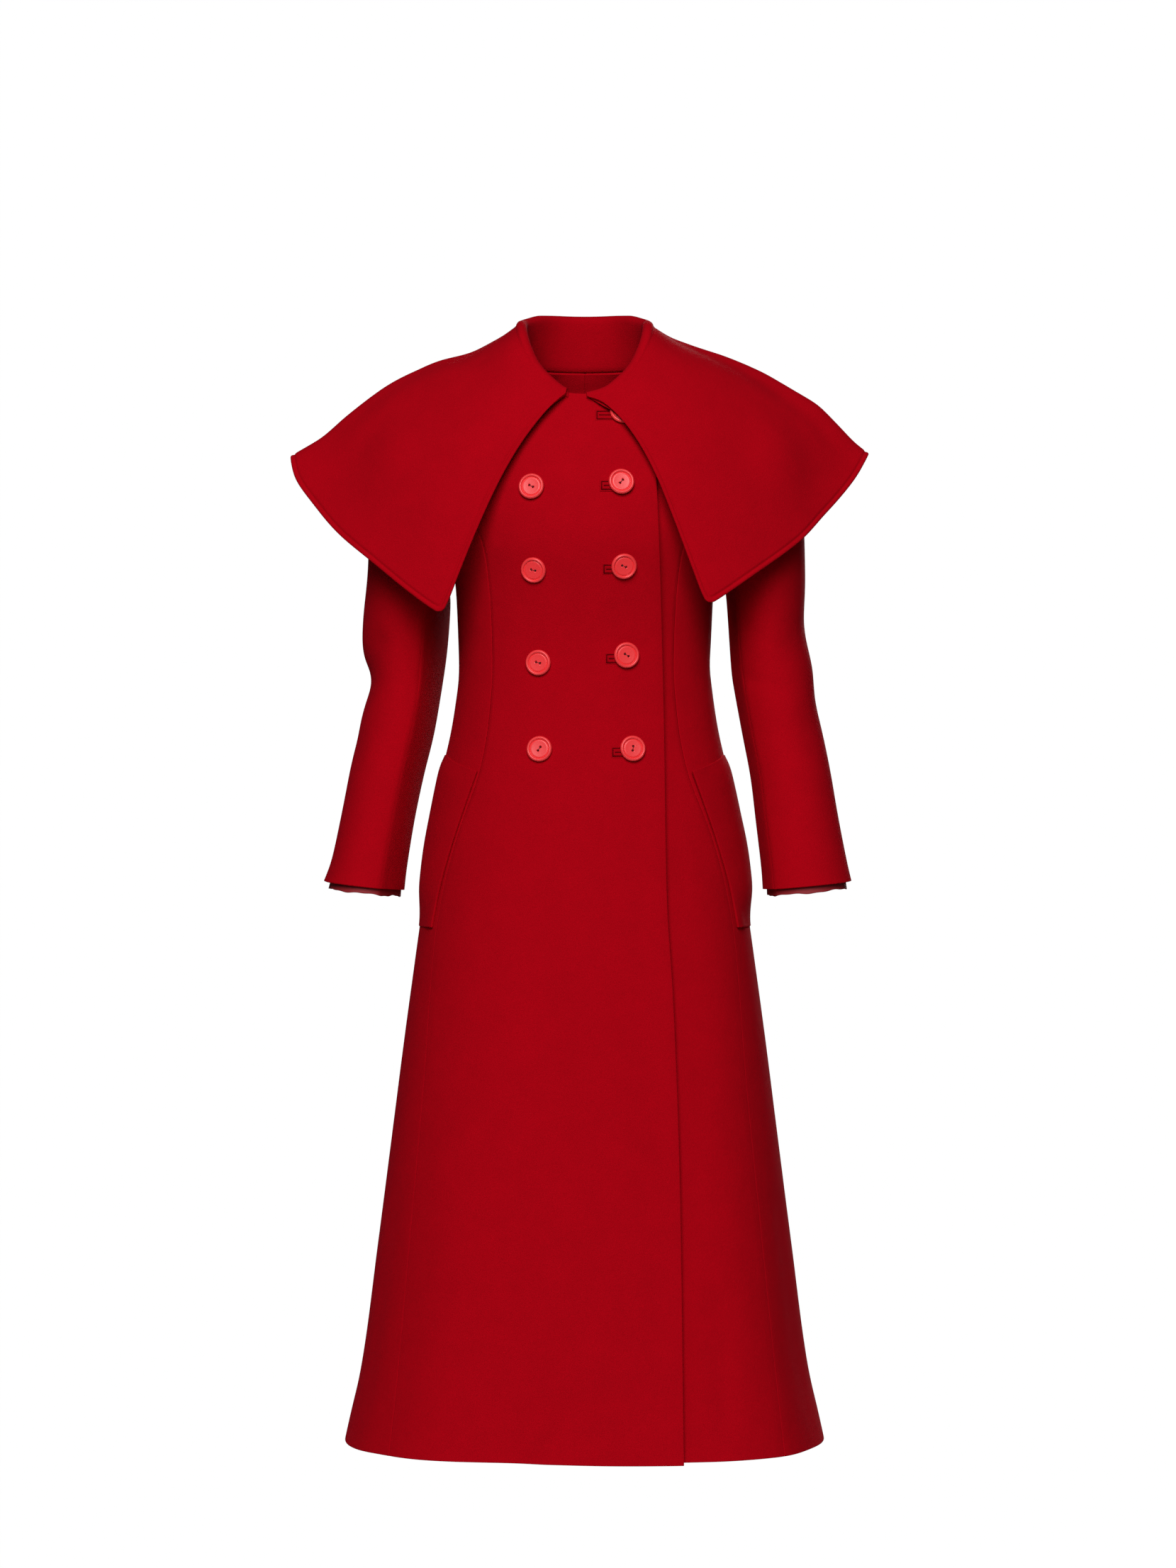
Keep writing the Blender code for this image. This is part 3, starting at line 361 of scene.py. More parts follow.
COLLAR_LEFT = (
    (1.4, 0.1222, -0.138, -0.2760, 0.022, 0.014, 0.0),
    (24.0, 0.1682, -0.118, -0.2440, 0.010, 0.016, 0.1),
    (45.0, 0.2219, -0.080, -0.2036, 0.003, 0.012, 0.5),
    (60.0, 0.2423, -0.056, -0.1809, 0.000, 0.008, 0.7),
    (76.0, 0.2633, -0.032, -0.1576, 0.000, 0.003, 0.9),
    (89.0, 0.2812, -0.010, -0.1344, 0.000, 0.000, 1.0),
    (100.0, 0.2949, 0.012, -0.1096, 0.000, 0.000, 1.0),
    (117.0, 0.2760, 0.062, -0.1370, 0.000, 0.006, 0.8),
    (136.0, 0.2180, 0.108, -0.1860, 0.000, 0.016, 0.4),
    (158.0, 0.1150, 0.134, -0.2250, 0.000, 0.024, 0.1),
    (180.0, 0.0000, 0.142, -0.2400, 0.000, 0.026, 0.0),
)

# Collar line over each shoulder: share of the way out, lift over the straight line
SHOULDER_LINE_RIGHT = (
    (0.00, 0.0000),
    (0.07, -0.0020),
    (0.17, -0.0015),
    (0.37, 0.0110),
    (0.55, 0.0155),
    (0.74, 0.0085),
    (0.88, 0.0000),
    (1.00, 0.0000),
)
SHOULDER_LINE_LEFT = (
    (0.00, 0.0000),
    (0.07, -0.0010),
    (0.17, 0.0030),
    (0.37, 0.0140),
    (0.55, 0.0195),
    (0.74, 0.0195),
    (0.86, 0.0100),
    (0.94, 0.0020),
    (1.00, 0.0000),
)

# Pockets: height, distance of the slanted front edge, how far the cloth stands off
POCKET_EDGE = (
    (-0.600, 0.1530, 0.0035),
    (-0.560, 0.1450, 0.0060),
    (-0.520, 0.1340, 0.0055),
    (-0.480, 0.1210, 0.0030),
    (-0.438, 0.1062, 0.0010),
)
POCKET_BOTTOM_Z = -0.598
POCKET_FRONT_TOP_Z = -0.439
POCKET_BACK_TOP_Z = -0.422
POCKET_BACK_ANGLE = 112.0
POCKET_SINK = 0.25
POCKET_TOP_SINK = 0.08
POCKET_EDGE_LIFT = 0.0010
POCKET_TOP_SLANT = 0.5
POCKET_EDGE_IN = 0.001
POCKET_FULLNESS = 0.7
POCKET_LIFT = 0.8
POCKET_FRONT_LIFT = 0.75
POCKET_STAND_OFF = {"right": 0.6, "left": 1.0}

# Buttons: x, z
BUTTONS_RIGHT_COLUMN = (
    (-0.0531, -0.1539),
    (-0.0509, -0.2370),
    (-0.0463, -0.3300),
    (-0.0452, -0.4170),
)
BUTTONS_LEFT_COLUMN = (
    (0.0378, -0.0785),
    (0.0364, -0.1496),
    (0.0388, -0.2332),
    (0.0415, -0.3225),
    (0.0477, -0.4167),
)

# Creases run out past their ends; past the reach, in half widths, nothing is left of them
CREASE_REACH = 2.6
CREASE_RUN_OUT = 0.25
CREASE_TAPER = 0.45

# Scales that creases are measured with: metres of arc round a side, and round and along a sleeve
SIDE_RADIUS = 0.17
SLEEVE_ACROSS = 0.001
SLEEVE_ALONG = 0.5

# Creases, listed one by one: from (across, along) to (across, along), half width, depth.
# Fronts and backs are measured in x and z, sides in arc from the front and z.
FRONT_CREASES = (
    (-0.003, -1.058, -0.044, -1.118, 0.010, 0.0048),
    (-0.026, -0.640, -0.030, -0.980, 0.030, 0.0032),
    (0.060, -0.600, 0.068, -0.860, 0.016, 0.0014),
    (-0.074, -0.940, -0.082, -1.122, 0.018, 0.0030),
)
UNDER_FRONT_CREASES = (
    (0.138, -0.960, 0.142, -1.110, 0.016, 0.0030),
)
BACK_CREASES = (
    (-0.060, -0.620, -0.074, -1.000, 0.024, 0.0024),
    (0.066, -0.640, 0.078, -1.060, 0.022, 0.0022),
    (-0.045, -0.330, -0.088, -0.300, 0.014, 0.0018),
    (0.048, -0.318, 0.086, -0.290, 0.014, 0.0017),
    (-0.020, -0.400, -0.080, -0.420, 0.018, 0.0012),
    (0.012, -0.980, 0.004, -1.116, 0.018, 0.0026),
)
SIDE_CREASES = {
    "right": (
        (0.300, -0.660, 0.330, -0.980, 0.026, 0.0022),
        (0.200, -0.860, 0.206, -1.118, 0.020, 0.0024),
        (0.250, -0.345, 0.320, -0.330, 0.014, 0.0016),
    ),
    "left": (
        (0.306, -0.640, 0.322, -1.020, 0.024, 0.0024),
        (0.214, -0.880, 0.222, -1.118, 0.018, 0.0020),
        (0.244, -0.338, 0.312, -0.322, 0.014, 0.0017),
    ),
}
# Sleeves are measured in thousandths of degrees round from the front, and in halves of the way to the cuff.
SLEEVE_CREASES = {
    "right": (
        (0.088, 0.292, 0.028, 0.232, 0.022, 0.0038),
        (0.100, 0.335, 0.045, 0.352, 0.018, 0.0015),
        (0.095, 0.290, 0.165, 0.262, 0.020, 0.0030),
        (-0.060, 0.262, -0.005, 0.290, 0.016, 0.0014),
    ),
    "left": (
        (0.092, 0.212, 0.005, 0.238, 0.020, 0.0028),
        (0.095, 0.302, 0.030, 0.330, 0.020, 0.0020),
        (0.098, 0.285, 0.165, 0.258, 0.020, 0.0030),
        (-0.045, 0.262, 0.010, 0.292, 0.016, 0.0014),
    ),
}


def read(table, at, column):
    """Read a table's column at a place along its first column, without overshoot."""
    places = [row[0] for row in table]
    values = [row[column] for row in table]
    if at <= places[0]:
        return values[0]
    if at >= places[-1]:
        return values[-1]
    step = 0
    while places[step + 1] < at:
        step += 1
    widths = [places[i + 1] - places[i] for i in range(len(places) - 1)]
    slopes = [(values[i + 1] - values[i]) / widths[i] for i in range(len(widths))]

    def tangent(i):
        if i == 0:
            return slopes[0]
        if i == len(places) - 1:
            return slopes[-1]
        before, after = slopes[i - 1], slopes[i]
        if before * after <= 0.0:
            return 0.0
        weight_before = 2.0 * widths[i] + widths[i - 1]
        weight_after = widths[i] + 2.0 * widths[i - 1]
        return (weight_before + weight_after) / (weight_before / before + weight_after / after)

    width = widths[step]
    t = (at - places[step]) / width
    start = values[step] * (2 * t**3 - 3 * t**2 + 1) + tangent(step) * width * (t**3 - 2 * t**2 + t)
    end = values[step + 1] * (3 * t**2 - 2 * t**3) + tangent(step + 1) * width * (t**3 - t**2)
    return start + end


def ease(t):
    """A soft step from 0 to 1."""
    t = min(max(t, 0.0), 1.0)
    return t * t * (3.0 - 2.0 * t)


def mix(a, b, t):
    """A point or value between two."""
    return a * (1.0 - t) + b * t


def body_section(height):
    """Half width, front depth, back depth and fullness at a height."""
    return tuple(read(BODY, height, column) for column in (1, 2, 3, 4))


def angle_at(x, height, back=False):
    """Angle from the front, in radians, of the body point at distance x from the centre."""
    half_width, _, _, fullness = body_section(height)
    share = min(abs(x) / half_width, 1.0) ** (fullness / 2.0)
    angle = math.asin(min(share, 1.0))
    if back:
        angle = math.pi - angle
    return math.copysign(angle, x)


def skirt_fold(angle, height):
    """How far the skirt dips in its soft folds."""
    dip = 0.0
    for fold_angle, spread, depth, top in SKIRT_FOLDS:
        if height < top:
            away = (math.degrees(angle) - fold_angle) / spread
            grown = ease((top - height) / (top - HEM_Z))
            dip += depth * grown * math.exp(-away * away)
    return dip


def body_point(angle, height):
    """A point of the body's outer surface."""
    half_width, front, back, fullness = body_section(height)
    across = math.sin(angle)
    forward = math.cos(angle)
    depth = front if forward > 0.0 else back
    x = half_width * math.copysign(abs(across) ** (2.0 / fullness), across)
    y = -depth * math.copysign(abs(forward) ** (2.0 / fullness), forward)
    point = Vector((x, y, height))
    outward = Vector((x, y, 0.0))
    if outward.length > 0.0:
        point -= outward.normalized() * skirt_fold(angle, height)
    return point


def body_normal(angle, height):
    """The outward direction of the body's surface."""
    turn = 0.01
    rise = 0.002
    low = max(height - rise, HEM_Z)
    high = height + rise
    around = body_point(angle + turn, height) - body_point(angle - turn, height)
    upward = body_point(angle, high) - body_point(angle, low)
    return around.cross(upward).normalized()


def armhole_depth(height):
    """Half depth of the armhole at a height, 0 outside it."""
    share = (height - ARMHOLE_Z) / ARMHOLE_HALF_HEIGHT
    return ARMHOLE_HALF_DEPTH * math.sqrt(max(1.0 - share * share, 0.0))


def x_at_depth(away, height, back):
    """Distance from the centre to the body's surface, at a distance in front of or behind its middle."""
    half_width, front, rear, fullness = body_section(height)
    share = min(away / (rear if back else front), 1.0)
    return half_width * (1.0 - share**fullness) ** (1.0 / fullness)


def armhole_x(height, back=False):
    """Distance from the centre to the armhole's front or back edge."""
    return x_at_depth(max(armhole_depth(height) - SEAM_LAP, 0.0), height, back)


def highest(low, high, holds, halvings=HALVINGS):
    """The highest place in a range at which a test still holds, found by halving."""
    for _ in range(halvings):
        middle = (low + high) / 2.0
        if holds(middle):
            low = middle
        else:
            high = middle
    return low


def seam_meets_armhole(seam, back):
    """Height where a seam of the body runs into the armhole."""
    return highest(ARMHOLE_Z - SEAM_SEARCH_BELOW, ARMHOLE_Z + SEAM_SEARCH_ABOVE,
                   lambda z: read(seam, z, 1) < armhole_x(z, back))


FRONT_JOIN_Z = seam_meets_armhole(FRONT_SEAM, False)
BACK_JOIN_Z = seam_meets_armhole(BACK_SEAM, True)


def even_shares(steps, low=(), high=()):
    """Shares from 0 to 1 at even steps, with closer ones at the low and high ends."""
    shares = {round(step / steps, 6) for step in range(steps + 1)}
    shares.update(low)
    shares.update(1.0 - share for share in high)
    return sorted(shares)


COLLAR_AROUND_SHARES = even_shares(COLLAR_STEPS // 2, low=[0.0022 * step for step in range(1, 10)])
COLLAR_FALL_SHARES = even_shares(COLLAR_FALL_STEPS, high=[0.0042 * step for step in range(1, 9)],
                                 low=(0.008,))[1:]


def grid_normals(rows):
    """Outward direction at every point of a grid whose first face looks out of the cloth."""
    last_row = len(rows) - 1
    last_column = len(rows[0]) - 1
    normals = []
    for i in range(last_row + 1):
        line = []
        for j in range(last_column + 1):
            across = rows[i][min(j + 1, last_column)] - rows[i][max(j - 1, 0)]
            along = rows[min(i + 1, last_row)][j] - rows[max(i - 1, 0)][j]
            line.append(across.cross(along).normalized())
        normals.append(line)
    return normals


def edge_distances(rows):
    """Distance along the cloth from every point to the low row, high row, first and last column."""
    high = len(rows) - 1
    wide = len(rows[0]) - 1
    across = [[0.0] * (wide + 1) for _ in rows]
    along = [[0.0] * (wide + 1) for _ in rows]
    for i in range(high + 1):
        for j in range(1, wide + 1):
            across[i][j] = across[i][j - 1] + (rows[i][j] - rows[i][j - 1]).length
    for j in range(wide + 1):
        for i in range(1, high + 1):
            along[i][j] = along[i - 1][j] + (rows[i][j] - rows[i - 1][j]).length
    return [[(along[i][j], along[high][j] - along[i][j], across[i][j], across[i][wide] - across[i][j])
             for j in range(wide + 1)] for i in range(high + 1)]


def sink(rows, dip_at):
    """Sink every point of the cloth by the depth that dip_at gives for its row and column."""
    normals = grid_normals(rows)
    for i, row in enumerate(rows):
        for j, point in enumerate(row):
            point -= normals[i][j] * dip_at(i, j)


def seam_dips(rows, edges, pressed=False):
    """Sink the cloth softly at its sewn edges, so that two pieces meet in a groove.

    A pressed seam is hardly seen below the pockets.
    """
    distances = edge_distances(rows)

    def dip_at(i, j):
        nearest = min(distances[i][j][edge] for edge in edges)
        dip = SEAM_DIP * math.exp(-((nearest / SEAM_WIDTH) ** 2))
        if pressed:
            dip *= mix(PRESSED_SHARE, 1.0, ease((rows[i][j].z - PRESSED_BELOW_Z) / PRESSED_BLEND))
        return dip

    sink(rows, dip_at)


def piece_from(form, name, material, smooth=False):
    """A piece in the scene, made from a finished form, in one material."""
    mesh = bpy.data.meshes.new(name)
    form.to_mesh(mesh)
    form.free()
    if smooth:
        mesh.shade_smooth()
    piece = bpy.data.objects.new(name, mesh)
    piece.data.materials.append(material)
    bpy.context.scene.collection.objects.link(piece)
    return piece


def cloth_shell(name, rows, thickness, material, tube=False, rounding=1):
    """Thin cloth through rows of points, with its thickness inside and its edges rounded."""
    form = bmesh.new()
    grid = [[form.verts.new(point) for point in row] for row in rows]
    for low, high in zip(grid, grid[1:]):
        for j in range(len(low) - 1):
            form.faces.new((low[j], low[j + 1], high[j + 1], high[j]))
    if tube:
        bmesh.ops.remove_doubles(form, verts=form.verts, dist=0.00001)
    piece = piece_from(form, name, material, smooth=True)
    wall = piece.modifiers.new("Thickness", "SOLIDIFY")
    wall.thickness = thickness
    wall.offset = -1.0
    if rounding:
        soft = piece.modifiers.new("Rounded edges", "SUBSURF")
        soft.levels = rounding
        soft.render_levels = rounding
    return piece


def crease_depth(creases, across, along):
    """How far the cloth dips in the listed creases, each a soft trough between two places."""
    dip = 0.0
    for x0, z0, x1, z1, width, depth in creases:
        run_x, run_z = x1 - x0, z1 - z0
        length = math.hypot(run_x, run_z)
        place = ((across - x0) * run_x + (along - z0) * run_z) / (length * length)
        inside = min(max(place, 0.0), 1.0)
        away = math.hypot(across - x0 - run_x * inside, along - z0 - run_z * inside) / width
        if away < CREASE_REACH:
            taper = ease(min(place + CREASE_RUN_OUT, 1.0 + CREASE_RUN_OUT - place) / CREASE_TAPER)
            dip += depth * taper * math.exp(-away * away)
    return dip


def sewn_piece(name, rows, places, creases, edges, material, pressed=False, mirrored=False):
    """A wool piece with its creases and sunk seams.

    Places holds each point's (across, along). A mirrored piece's columns run the other way.
    """
    if mirrored:
        for line in rows + places:
            line.reverse()
    sink(rows, lambda i, j: crease_depth(creases, *places[i][j]))
    seam_dips(rows, edges, pressed)
    return cloth_shell(name, rows, CLOTH, material)


def panel_rows(join_height):
    """Heights of a panel's rows as shares of its full height, closer at the hem and the neck."""
    join_share = (join_height - HEM_Z) / (SHOULDER_TIP_Z - HEM_Z)
    lower = [join_share * share for share in even_shares(SKIRT_STEPS, low=HEM_SHARES)]
    upper = []
    for step in range(1, YOKE_STEPS + 1):
        left = 1.0 - step / YOKE_STEPS
        upper.append(1.0 - (1.0 - join_share) * left**YOKE_CROWDING)
    return lower + upper


def top_edge(share, inner_x, side, back):
    """A panel's top edge from its inner corner along the neckline and the shoulder to the tip."""
    if share <= NECK_SHARE:
        along = share / NECK_SHARE
        if back:
            return mix(0.0, NECK_HALF_WIDTH, along) * side, NECK_SIDE_Z
        x = mix(inner_x * side, NECK_HALF_WIDTH, along)
        across = min(max(x / NECK_HALF_WIDTH, 0.0), 1.0)
        z = NECK_SIDE_Z + (NECK_EDGE_Z - NECK_SIDE_Z) * math.sqrt(1.0 - across * across)
        return x * side, z
    along = (share - NECK_SHARE) / (1.0 - NECK_SHARE)
    z = mix(NECK_SIDE_Z, SHOULDER_TIP_Z, along)
    return body_section(z)[0] * side, z


def panel_domain(side, inner_edge, outer_seam, join_height, columns, back):
    """Rows of (x, z) between a panel's four edges, in the front view."""
    inner_top_x = inner_edge(NECK_FRONT_Z)

    def outer_edge(share):
        z = HEM_Z + (SHOULDER_TIP_Z - HEM_Z) * share
        if z <= join_height:
            return Vector((read(outer_seam, z, 1) * side, z))
        return Vector((armhole_x(z, back) * side, z))

    def inner_line(share):
        top_z = top_edge(0.0, inner_top_x, side, back)[1]
        z = HEM_Z + (top_z - HEM_Z) * share
        return Vector((inner_edge(z), z))

    corner = Vector((inner_edge(HEM_Z), HEM_Z))
    tops = [Vector(top_edge(u, inner_top_x, side, back)) for u in columns]
    tops[0] = inner_line(1.0)
    tops[-1] = outer_edge(1.0)
    rows = []
    for v in panel_rows(join_height):
        inner_point = inner_line(v)
        outer_point = outer_edge(v)
        row = []
        for u, top in zip(columns, tops):
            bottom = mix(corner, outer_edge(0.0), u)
            between = mix(inner_point, outer_point, u) + mix(bottom, top, v)
            low = mix(corner, outer_edge(0.0), u)
            high = mix(tops[0], tops[-1], u)
            row.append(between - mix(low, high, v))
        rows.append(row)
    return rows


def surface_at(x, z, back):
    """Point and outward direction of the body at (x, z)."""
    angle = angle_at(x, z, back)
    point = body_point(angle, z)
    if back:
        point.y = max(point.y, SHOULDER_HALF_SEAM)
    else:
        point.y = min(point.y, -SHOULDER_HALF_SEAM)
    return point, body_normal(angle, z)


def overlap_x(z):
    """The outer front's edge."""
    return read(OVERLAP_EDGE, z, 1)


def underlap_x(z):
    """The under front's edge, beneath the outer front."""
    return read(UNDERLAP_EDGE, z, 1)


def outer_front_point(x, z):
    """Point and direction of the outer front, which lifts a little towards its edge."""
    point, outward = surface_at(x, z, False)
    lift = OVERLAP_LIFT * ease(1.0 - (overlap_x(z) - x) / OVERLAP_LIFT_WIDTH)
    lift *= ease((NECK_FRONT_Z - z) / OVERLAP_LIFT_HEIGHT)
    return point + outward * lift, outward


def underlap_drop(x, z):
    """How far the under front and what is sewn to it lie below the outer front's form."""
    drop = UNDERLAP_DROP + UNDERLAP_NECK_DROP * ease((z - NECK_FRONT_Z) / UNDERLAP_NECK_BLEND + 1.0)
    return drop * (1.0 - ease((x - overlap_x(z) - UNDERLAP_RISE_START) / UNDERLAP_BLEND))


def inner_front_point(x, z):
    """Point of the under front, which lies under the outer one and comes up beyond its edge."""
    point, outward = surface_at(x, z, False)
    return point - outward * underlap_drop(x, z)


def make_front_right(material):
    """Outer front panel, from the overlap edge across the centre to the right princess seam."""
    columns = even_shares(FRONT_STEPS, low=SEAM_SHARES, high=SEAM_SHARES)
    domain = panel_domain(-1, overlap_x, FRONT_SEAM, FRONT_JOIN_Z, columns, False)
    rows = [[outer_front_point(x, z)[0] for x, z in row] for row in domain]
    for row in rows[:OUTER_HEM_ROWS]:
        for point in row:
            point.z -= OUTER_HEM_EXTRA * ease((point.x - OUTER_HEM_FROM_X) / OUTER_HEM_BLEND)
    return sewn_piece("coat_front_right", rows, domain, FRONT_CREASES, (2,), material, pressed=True,
                      mirrored=True)


def make_front_left(material):
    """Under front panel, from under the overlap to the left princess seam."""
    columns = even_shares(FRONT_STEPS, high=SEAM_SHARES)
    domain = panel_domain(1, underlap_x, FRONT_SEAM, FRONT_JOIN_Z, columns, False)
    rows = [[inner_front_point(x, z) for x, z in row] for row in domain]
    return sewn_piece("coat_front_left", rows, domain, UNDER_FRONT_CREASES, (3,), material, pressed=True)


def make_back(side_name, side, material):
    """Back panel, from the centre-back seam to the side-back seam."""
    def centre(_):
        return -SEAM_LAP * side

    columns = even_shares(BACK_STEPS, low=SEAM_SHARES, high=SEAM_SHARES)
    domain = panel_domain(side, centre, BACK_SEAM, BACK_JOIN_Z, columns, True)
    rows = [[surface_at(x, z, True)[0] for x, z in row] for row in domain]
    return sewn_piece(f"coat_back_{side_name}", rows, domain, BACK_CREASES, (2, 3), material,
                      mirrored=side > 0)


def make_side(side_name, side, material):
    """Side panel, up to the lower half of the armhole."""
    shares = even_shares(SIDE_STEPS, low=SEAM_SHARES, high=SEAM_SHARES)
    tops = [side_top(share) for share in shares]
    rows = []
    places = []
    for step in even_shares(SKIRT_STEPS, low=HEM_SHARES):
        row = []
        row_places = []
        for share, top in zip(shares, tops):
            z = mix(HEM_Z, top, step)
            angle = mix(*side_angles(side, z), share)
            point = body_point(angle, z)
            if side > 0 and point.y < 0.0:
                point -= body_normal(angle, z) * underlap_drop(point.x, z)
            row.append(point)
            row_places.append((abs(angle) * SIDE_RADIUS, z))
        rows.append(row)
        places.append(row_places)
    return sewn_piece(f"coat_side_{side_name}", rows, places, SIDE_CREASES[side_name], (2, 3), material,
                      pressed=True, mirrored=side < 0)


def make_sleeve_piece(name, side, first, last, steps, material):
    """A sleeve piece between two seams, given in degrees round the sleeve from its front."""
    side_name = "left" if side > 0 else "right"
    rows = []
    places = []
    for step in even_shares(SLEEVE_STEPS, low=CUFF_SHARES):
        share = 1.0 - step
        row = []
        row_places = []
        for column in even_shares(steps, low=SEAM_SHARES, high=SEAM_SHARES):
            degrees = mix(first - SLEEVE_LAP_DEGREES, last + SLEEVE_LAP_DEGREES, column)
            row.append(sleeve_point(side, math.radians(degrees), share))
            row_places.append((SLEEVE_ACROSS * degrees, SLEEVE_ALONG * share))
        rows.append(row)
        places.append(row_places)
    return sewn_piece(name, rows, places, SLEEVE_CREASES[side_name], (2, 3), material, mirrored=side < 0)


def make_cuff_lining(side_name, side, material):
    """Band of lining inside the cuff, which shows just below it with a slightly uneven edge."""
    rows = []
    for down in LINING_SHARES:
        row = []
        share = mix(CUFF_LINING_TOP, 1.0, down)
        for column in range(LINING_STEPS + 1):
            turn = math.tau * column / LINING_STEPS
            point = sleeve_point(side, turn, share)
            centre = (sleeve_point(side, 0.0, share) + sleeve_point(side, math.pi, share)) / 2.0
            point += (centre - point).normalized() * (CLOTH + LINING_GAP)
            wave = math.sin(LINING_WAVES * turn + side)
            wave += LINING_RIPPLE * math.sin(LINING_RIPPLES * turn + LINING_RIPPLE_TURN)
            point.z -= CUFF_LINING_SHOWS * ease(down) + CUFF_LINING_WAVE * wave * down
            row.append(point)
        row[-1] = row[0].copy()
        rows.append(row)
    rows.reverse()
    if side < 0:
        for row in rows:
            row.reverse()
    return cloth_shell(f"lining_cuff_{side_name}", rows, LINING_CLOTH, material, tube=True)


def away_from_neck(around):
    """Level direction away from the neck at an angle round it from the front."""
    return Vector((math.sin(around), -math.cos(around), 0.0))


def collar_profile(side, around):
    """Outer-surface points from the seam at the neck, up the stand, over the roll, to the edge."""
    centre = roll_centre(around)
    radius = read(COLLAR_STAND, math.degrees(around), 3)
    outward = away_from_neck(around)
    foot = neckline_point(around) + outward * STAND_OFFSET
    foot.z += COLLAR_SEAM_GAP
    top = centre - outward * radius
    points = [mix(foot, top, share) for share in (0.0, 0.25, 0.5, 0.75)]
    for step in range(ROLL_STEPS + 1):
        turn = math.pi * (1.0 - step / ROLL_STEPS)
        points.append(centre + outward * radius * math.cos(turn)
                      + Vector((0.0, 0.0, radius * math.sin(turn))))
    for share in COLLAR_FALL_SHARES:
        points.append(collar_fall(side, around, share))
    return [Vector((point.x * side, point.y, point.z)) for point in points]


def round_tip(rows, distances, end, inward):
    """Round the corner between a front end of the collar and its outer edge."""
    tip = rows[end][-1].copy()
    to_front = (tip - rows[end + TIP_STEPS * inward][-1]).normalized()
    to_edge = (tip - rows[end][-1 - TIP_STEPS]).normalized()
    for i, row in enumerate(rows):
        for j, point in enumerate(row):
            low, high, _, outer = distances[i][j]
            from_front = low if inward > 0 else high
            if from_front < TIP_RADIUS and outer < TIP_RADIUS:
                across = TIP_RADIUS - from_front
                down = TIP_RADIUS - outer
                pull = max(across, down) / max(math.hypot(across, down), 0.0001) - 1.0
                point += (to_front * across + to_edge * down) * pull


def edge_dip(inside):
    """How far the collar sinks at a distance from its edge: a round lip, a seam ditch, then the cloth."""
    if inside < EDGE_DITCH_IN:
        middle = EDGE_DITCH_IN / 2.0
        return EDGE_DITCH_DEPTH * ((inside - middle) / middle) ** 2
    away = (inside - EDGE_DITCH_IN) / EDGE_DITCH_WIDTH
    return EDGE_DITCH_DEPTH * math.exp(-away * away)


def make_collar(material):
    """One collar from the right front end round the back to the left front end."""
    profiles = []
    for share in COLLAR_AROUND_SHARES:
        around = math.radians(mix(COLLAR_RIGHT[0][0], 180.0, share))
        profiles.append(collar_profile(-1, around))
    for share in reversed(COLLAR_AROUND_SHARES[:-1]):
        around = math.radians(mix(COLLAR_LEFT[0][0], 180.0, share))
        profiles.append(collar_profile(1, around))
    profiles.reverse()
    distances = edge_distances(profiles)
    round_tip(profiles, distances, 0, 1)
    round_tip(profiles, distances, -1, -1)

    def dip_at(i, j):
        low, high, neck, outer = distances[i][j]
        return edge_dip(min(low, high, outer)) * ease((neck - DITCH_START) / DITCH_GROWTH)

    sink(profiles, dip_at)
    return cloth_shell("collar_outer", profiles, COLLAR_CLOTH, material)


def make_pocket(side_name, side, material):
    """Patch pocket on the side panel, between its slanted front edge and the hip."""
    shares = even_shares(POCKET_STEPS, low=POCKET_EDGE_SHARES, high=POCKET_EDGE_SHARES)
    rows = []
    for step in shares:
        row = []
        for share in shares:
            top = mix(POCKET_FRONT_TOP_Z, POCKET_BACK_TOP_Z, min(share / POCKET_TOP_SLANT, 1.0))
            z = mix(POCKET_BOTTOM_Z, top, step)
            first = angle_at(read(POCKET_EDGE, z, 1) + POCKET_EDGE_IN, z)
            angle = mix(first, math.radians(POCKET_BACK_ANGLE), share) * side
            off = read(POCKET_EDGE, z, 2) * math.sin(math.pi * share) ** POCKET_FULLNESS
            off *= POCKET_STAND_OFF[side_name]
            inner = min(ease((1.0 - share) / POCKET_SINK), ease(step / POCKET_SINK),
                        ease((1.0 - step) / POCKET_TOP_SINK))
            front = 1.0 - ease(share / POCKET_SINK)
            raised = max(inner * POCKET_LIFT, front * POCKET_FRONT_LIFT)
            lift = mix(POCKET_EDGE_LIFT, CLOTH + LAID_GAP + off, raised)
            row.append(body_point(angle, z) + body_normal(angle, z) * lift)
        if side < 0:
            row.reverse()
        rows.append(row)
    return cloth_shell(f"patch_pocket_{side_name}", rows, CLOTH, material)


def side_angles(side, z):
    """Angles of a side panel's front and back seams."""
    front = angle_at(read(FRONT_SEAM, z, 1) - SEAM_LAP, z)
    back = angle_at(read(BACK_SEAM, z, 1) - SEAM_LAP, z, back=True)
    return front * side, back * side


def side_top(share):
    """Height at which a side panel's column runs into the armhole."""
    if share <= 0.0:
        return FRONT_JOIN_Z
    if share >= 1.0:
        return BACK_JOIN_Z

    def below_armhole(z):
        angle = mix(*side_angles(1, z), share)
        return abs(body_point(angle, z).y) > armhole_depth(z) - SEAM_LAP

    top = highest(ARMHOLE_Z - ARMHOLE_HALF_HEIGHT - SEARCH_MARGIN, ARMHOLE_Z, below_armhole)
    return min(top, ARMHOLE_Z - ARMHOLE_HALF_HEIGHT * SIDE_TOP_BELOW)


def armhole_loop_point(turn):
    """Point where the sleeve meets the armhole, at an angle round it."""
    z = ARMHOLE_Z + ARMHOLE_HALF_HEIGHT * math.sin(turn)
    y = -ARMHOLE_HALF_DEPTH * math.cos(turn)
    return Vector((x_at_depth(abs(y), z, y >= 0.0) + SLEEVE_HEAD_GAP, y, z))


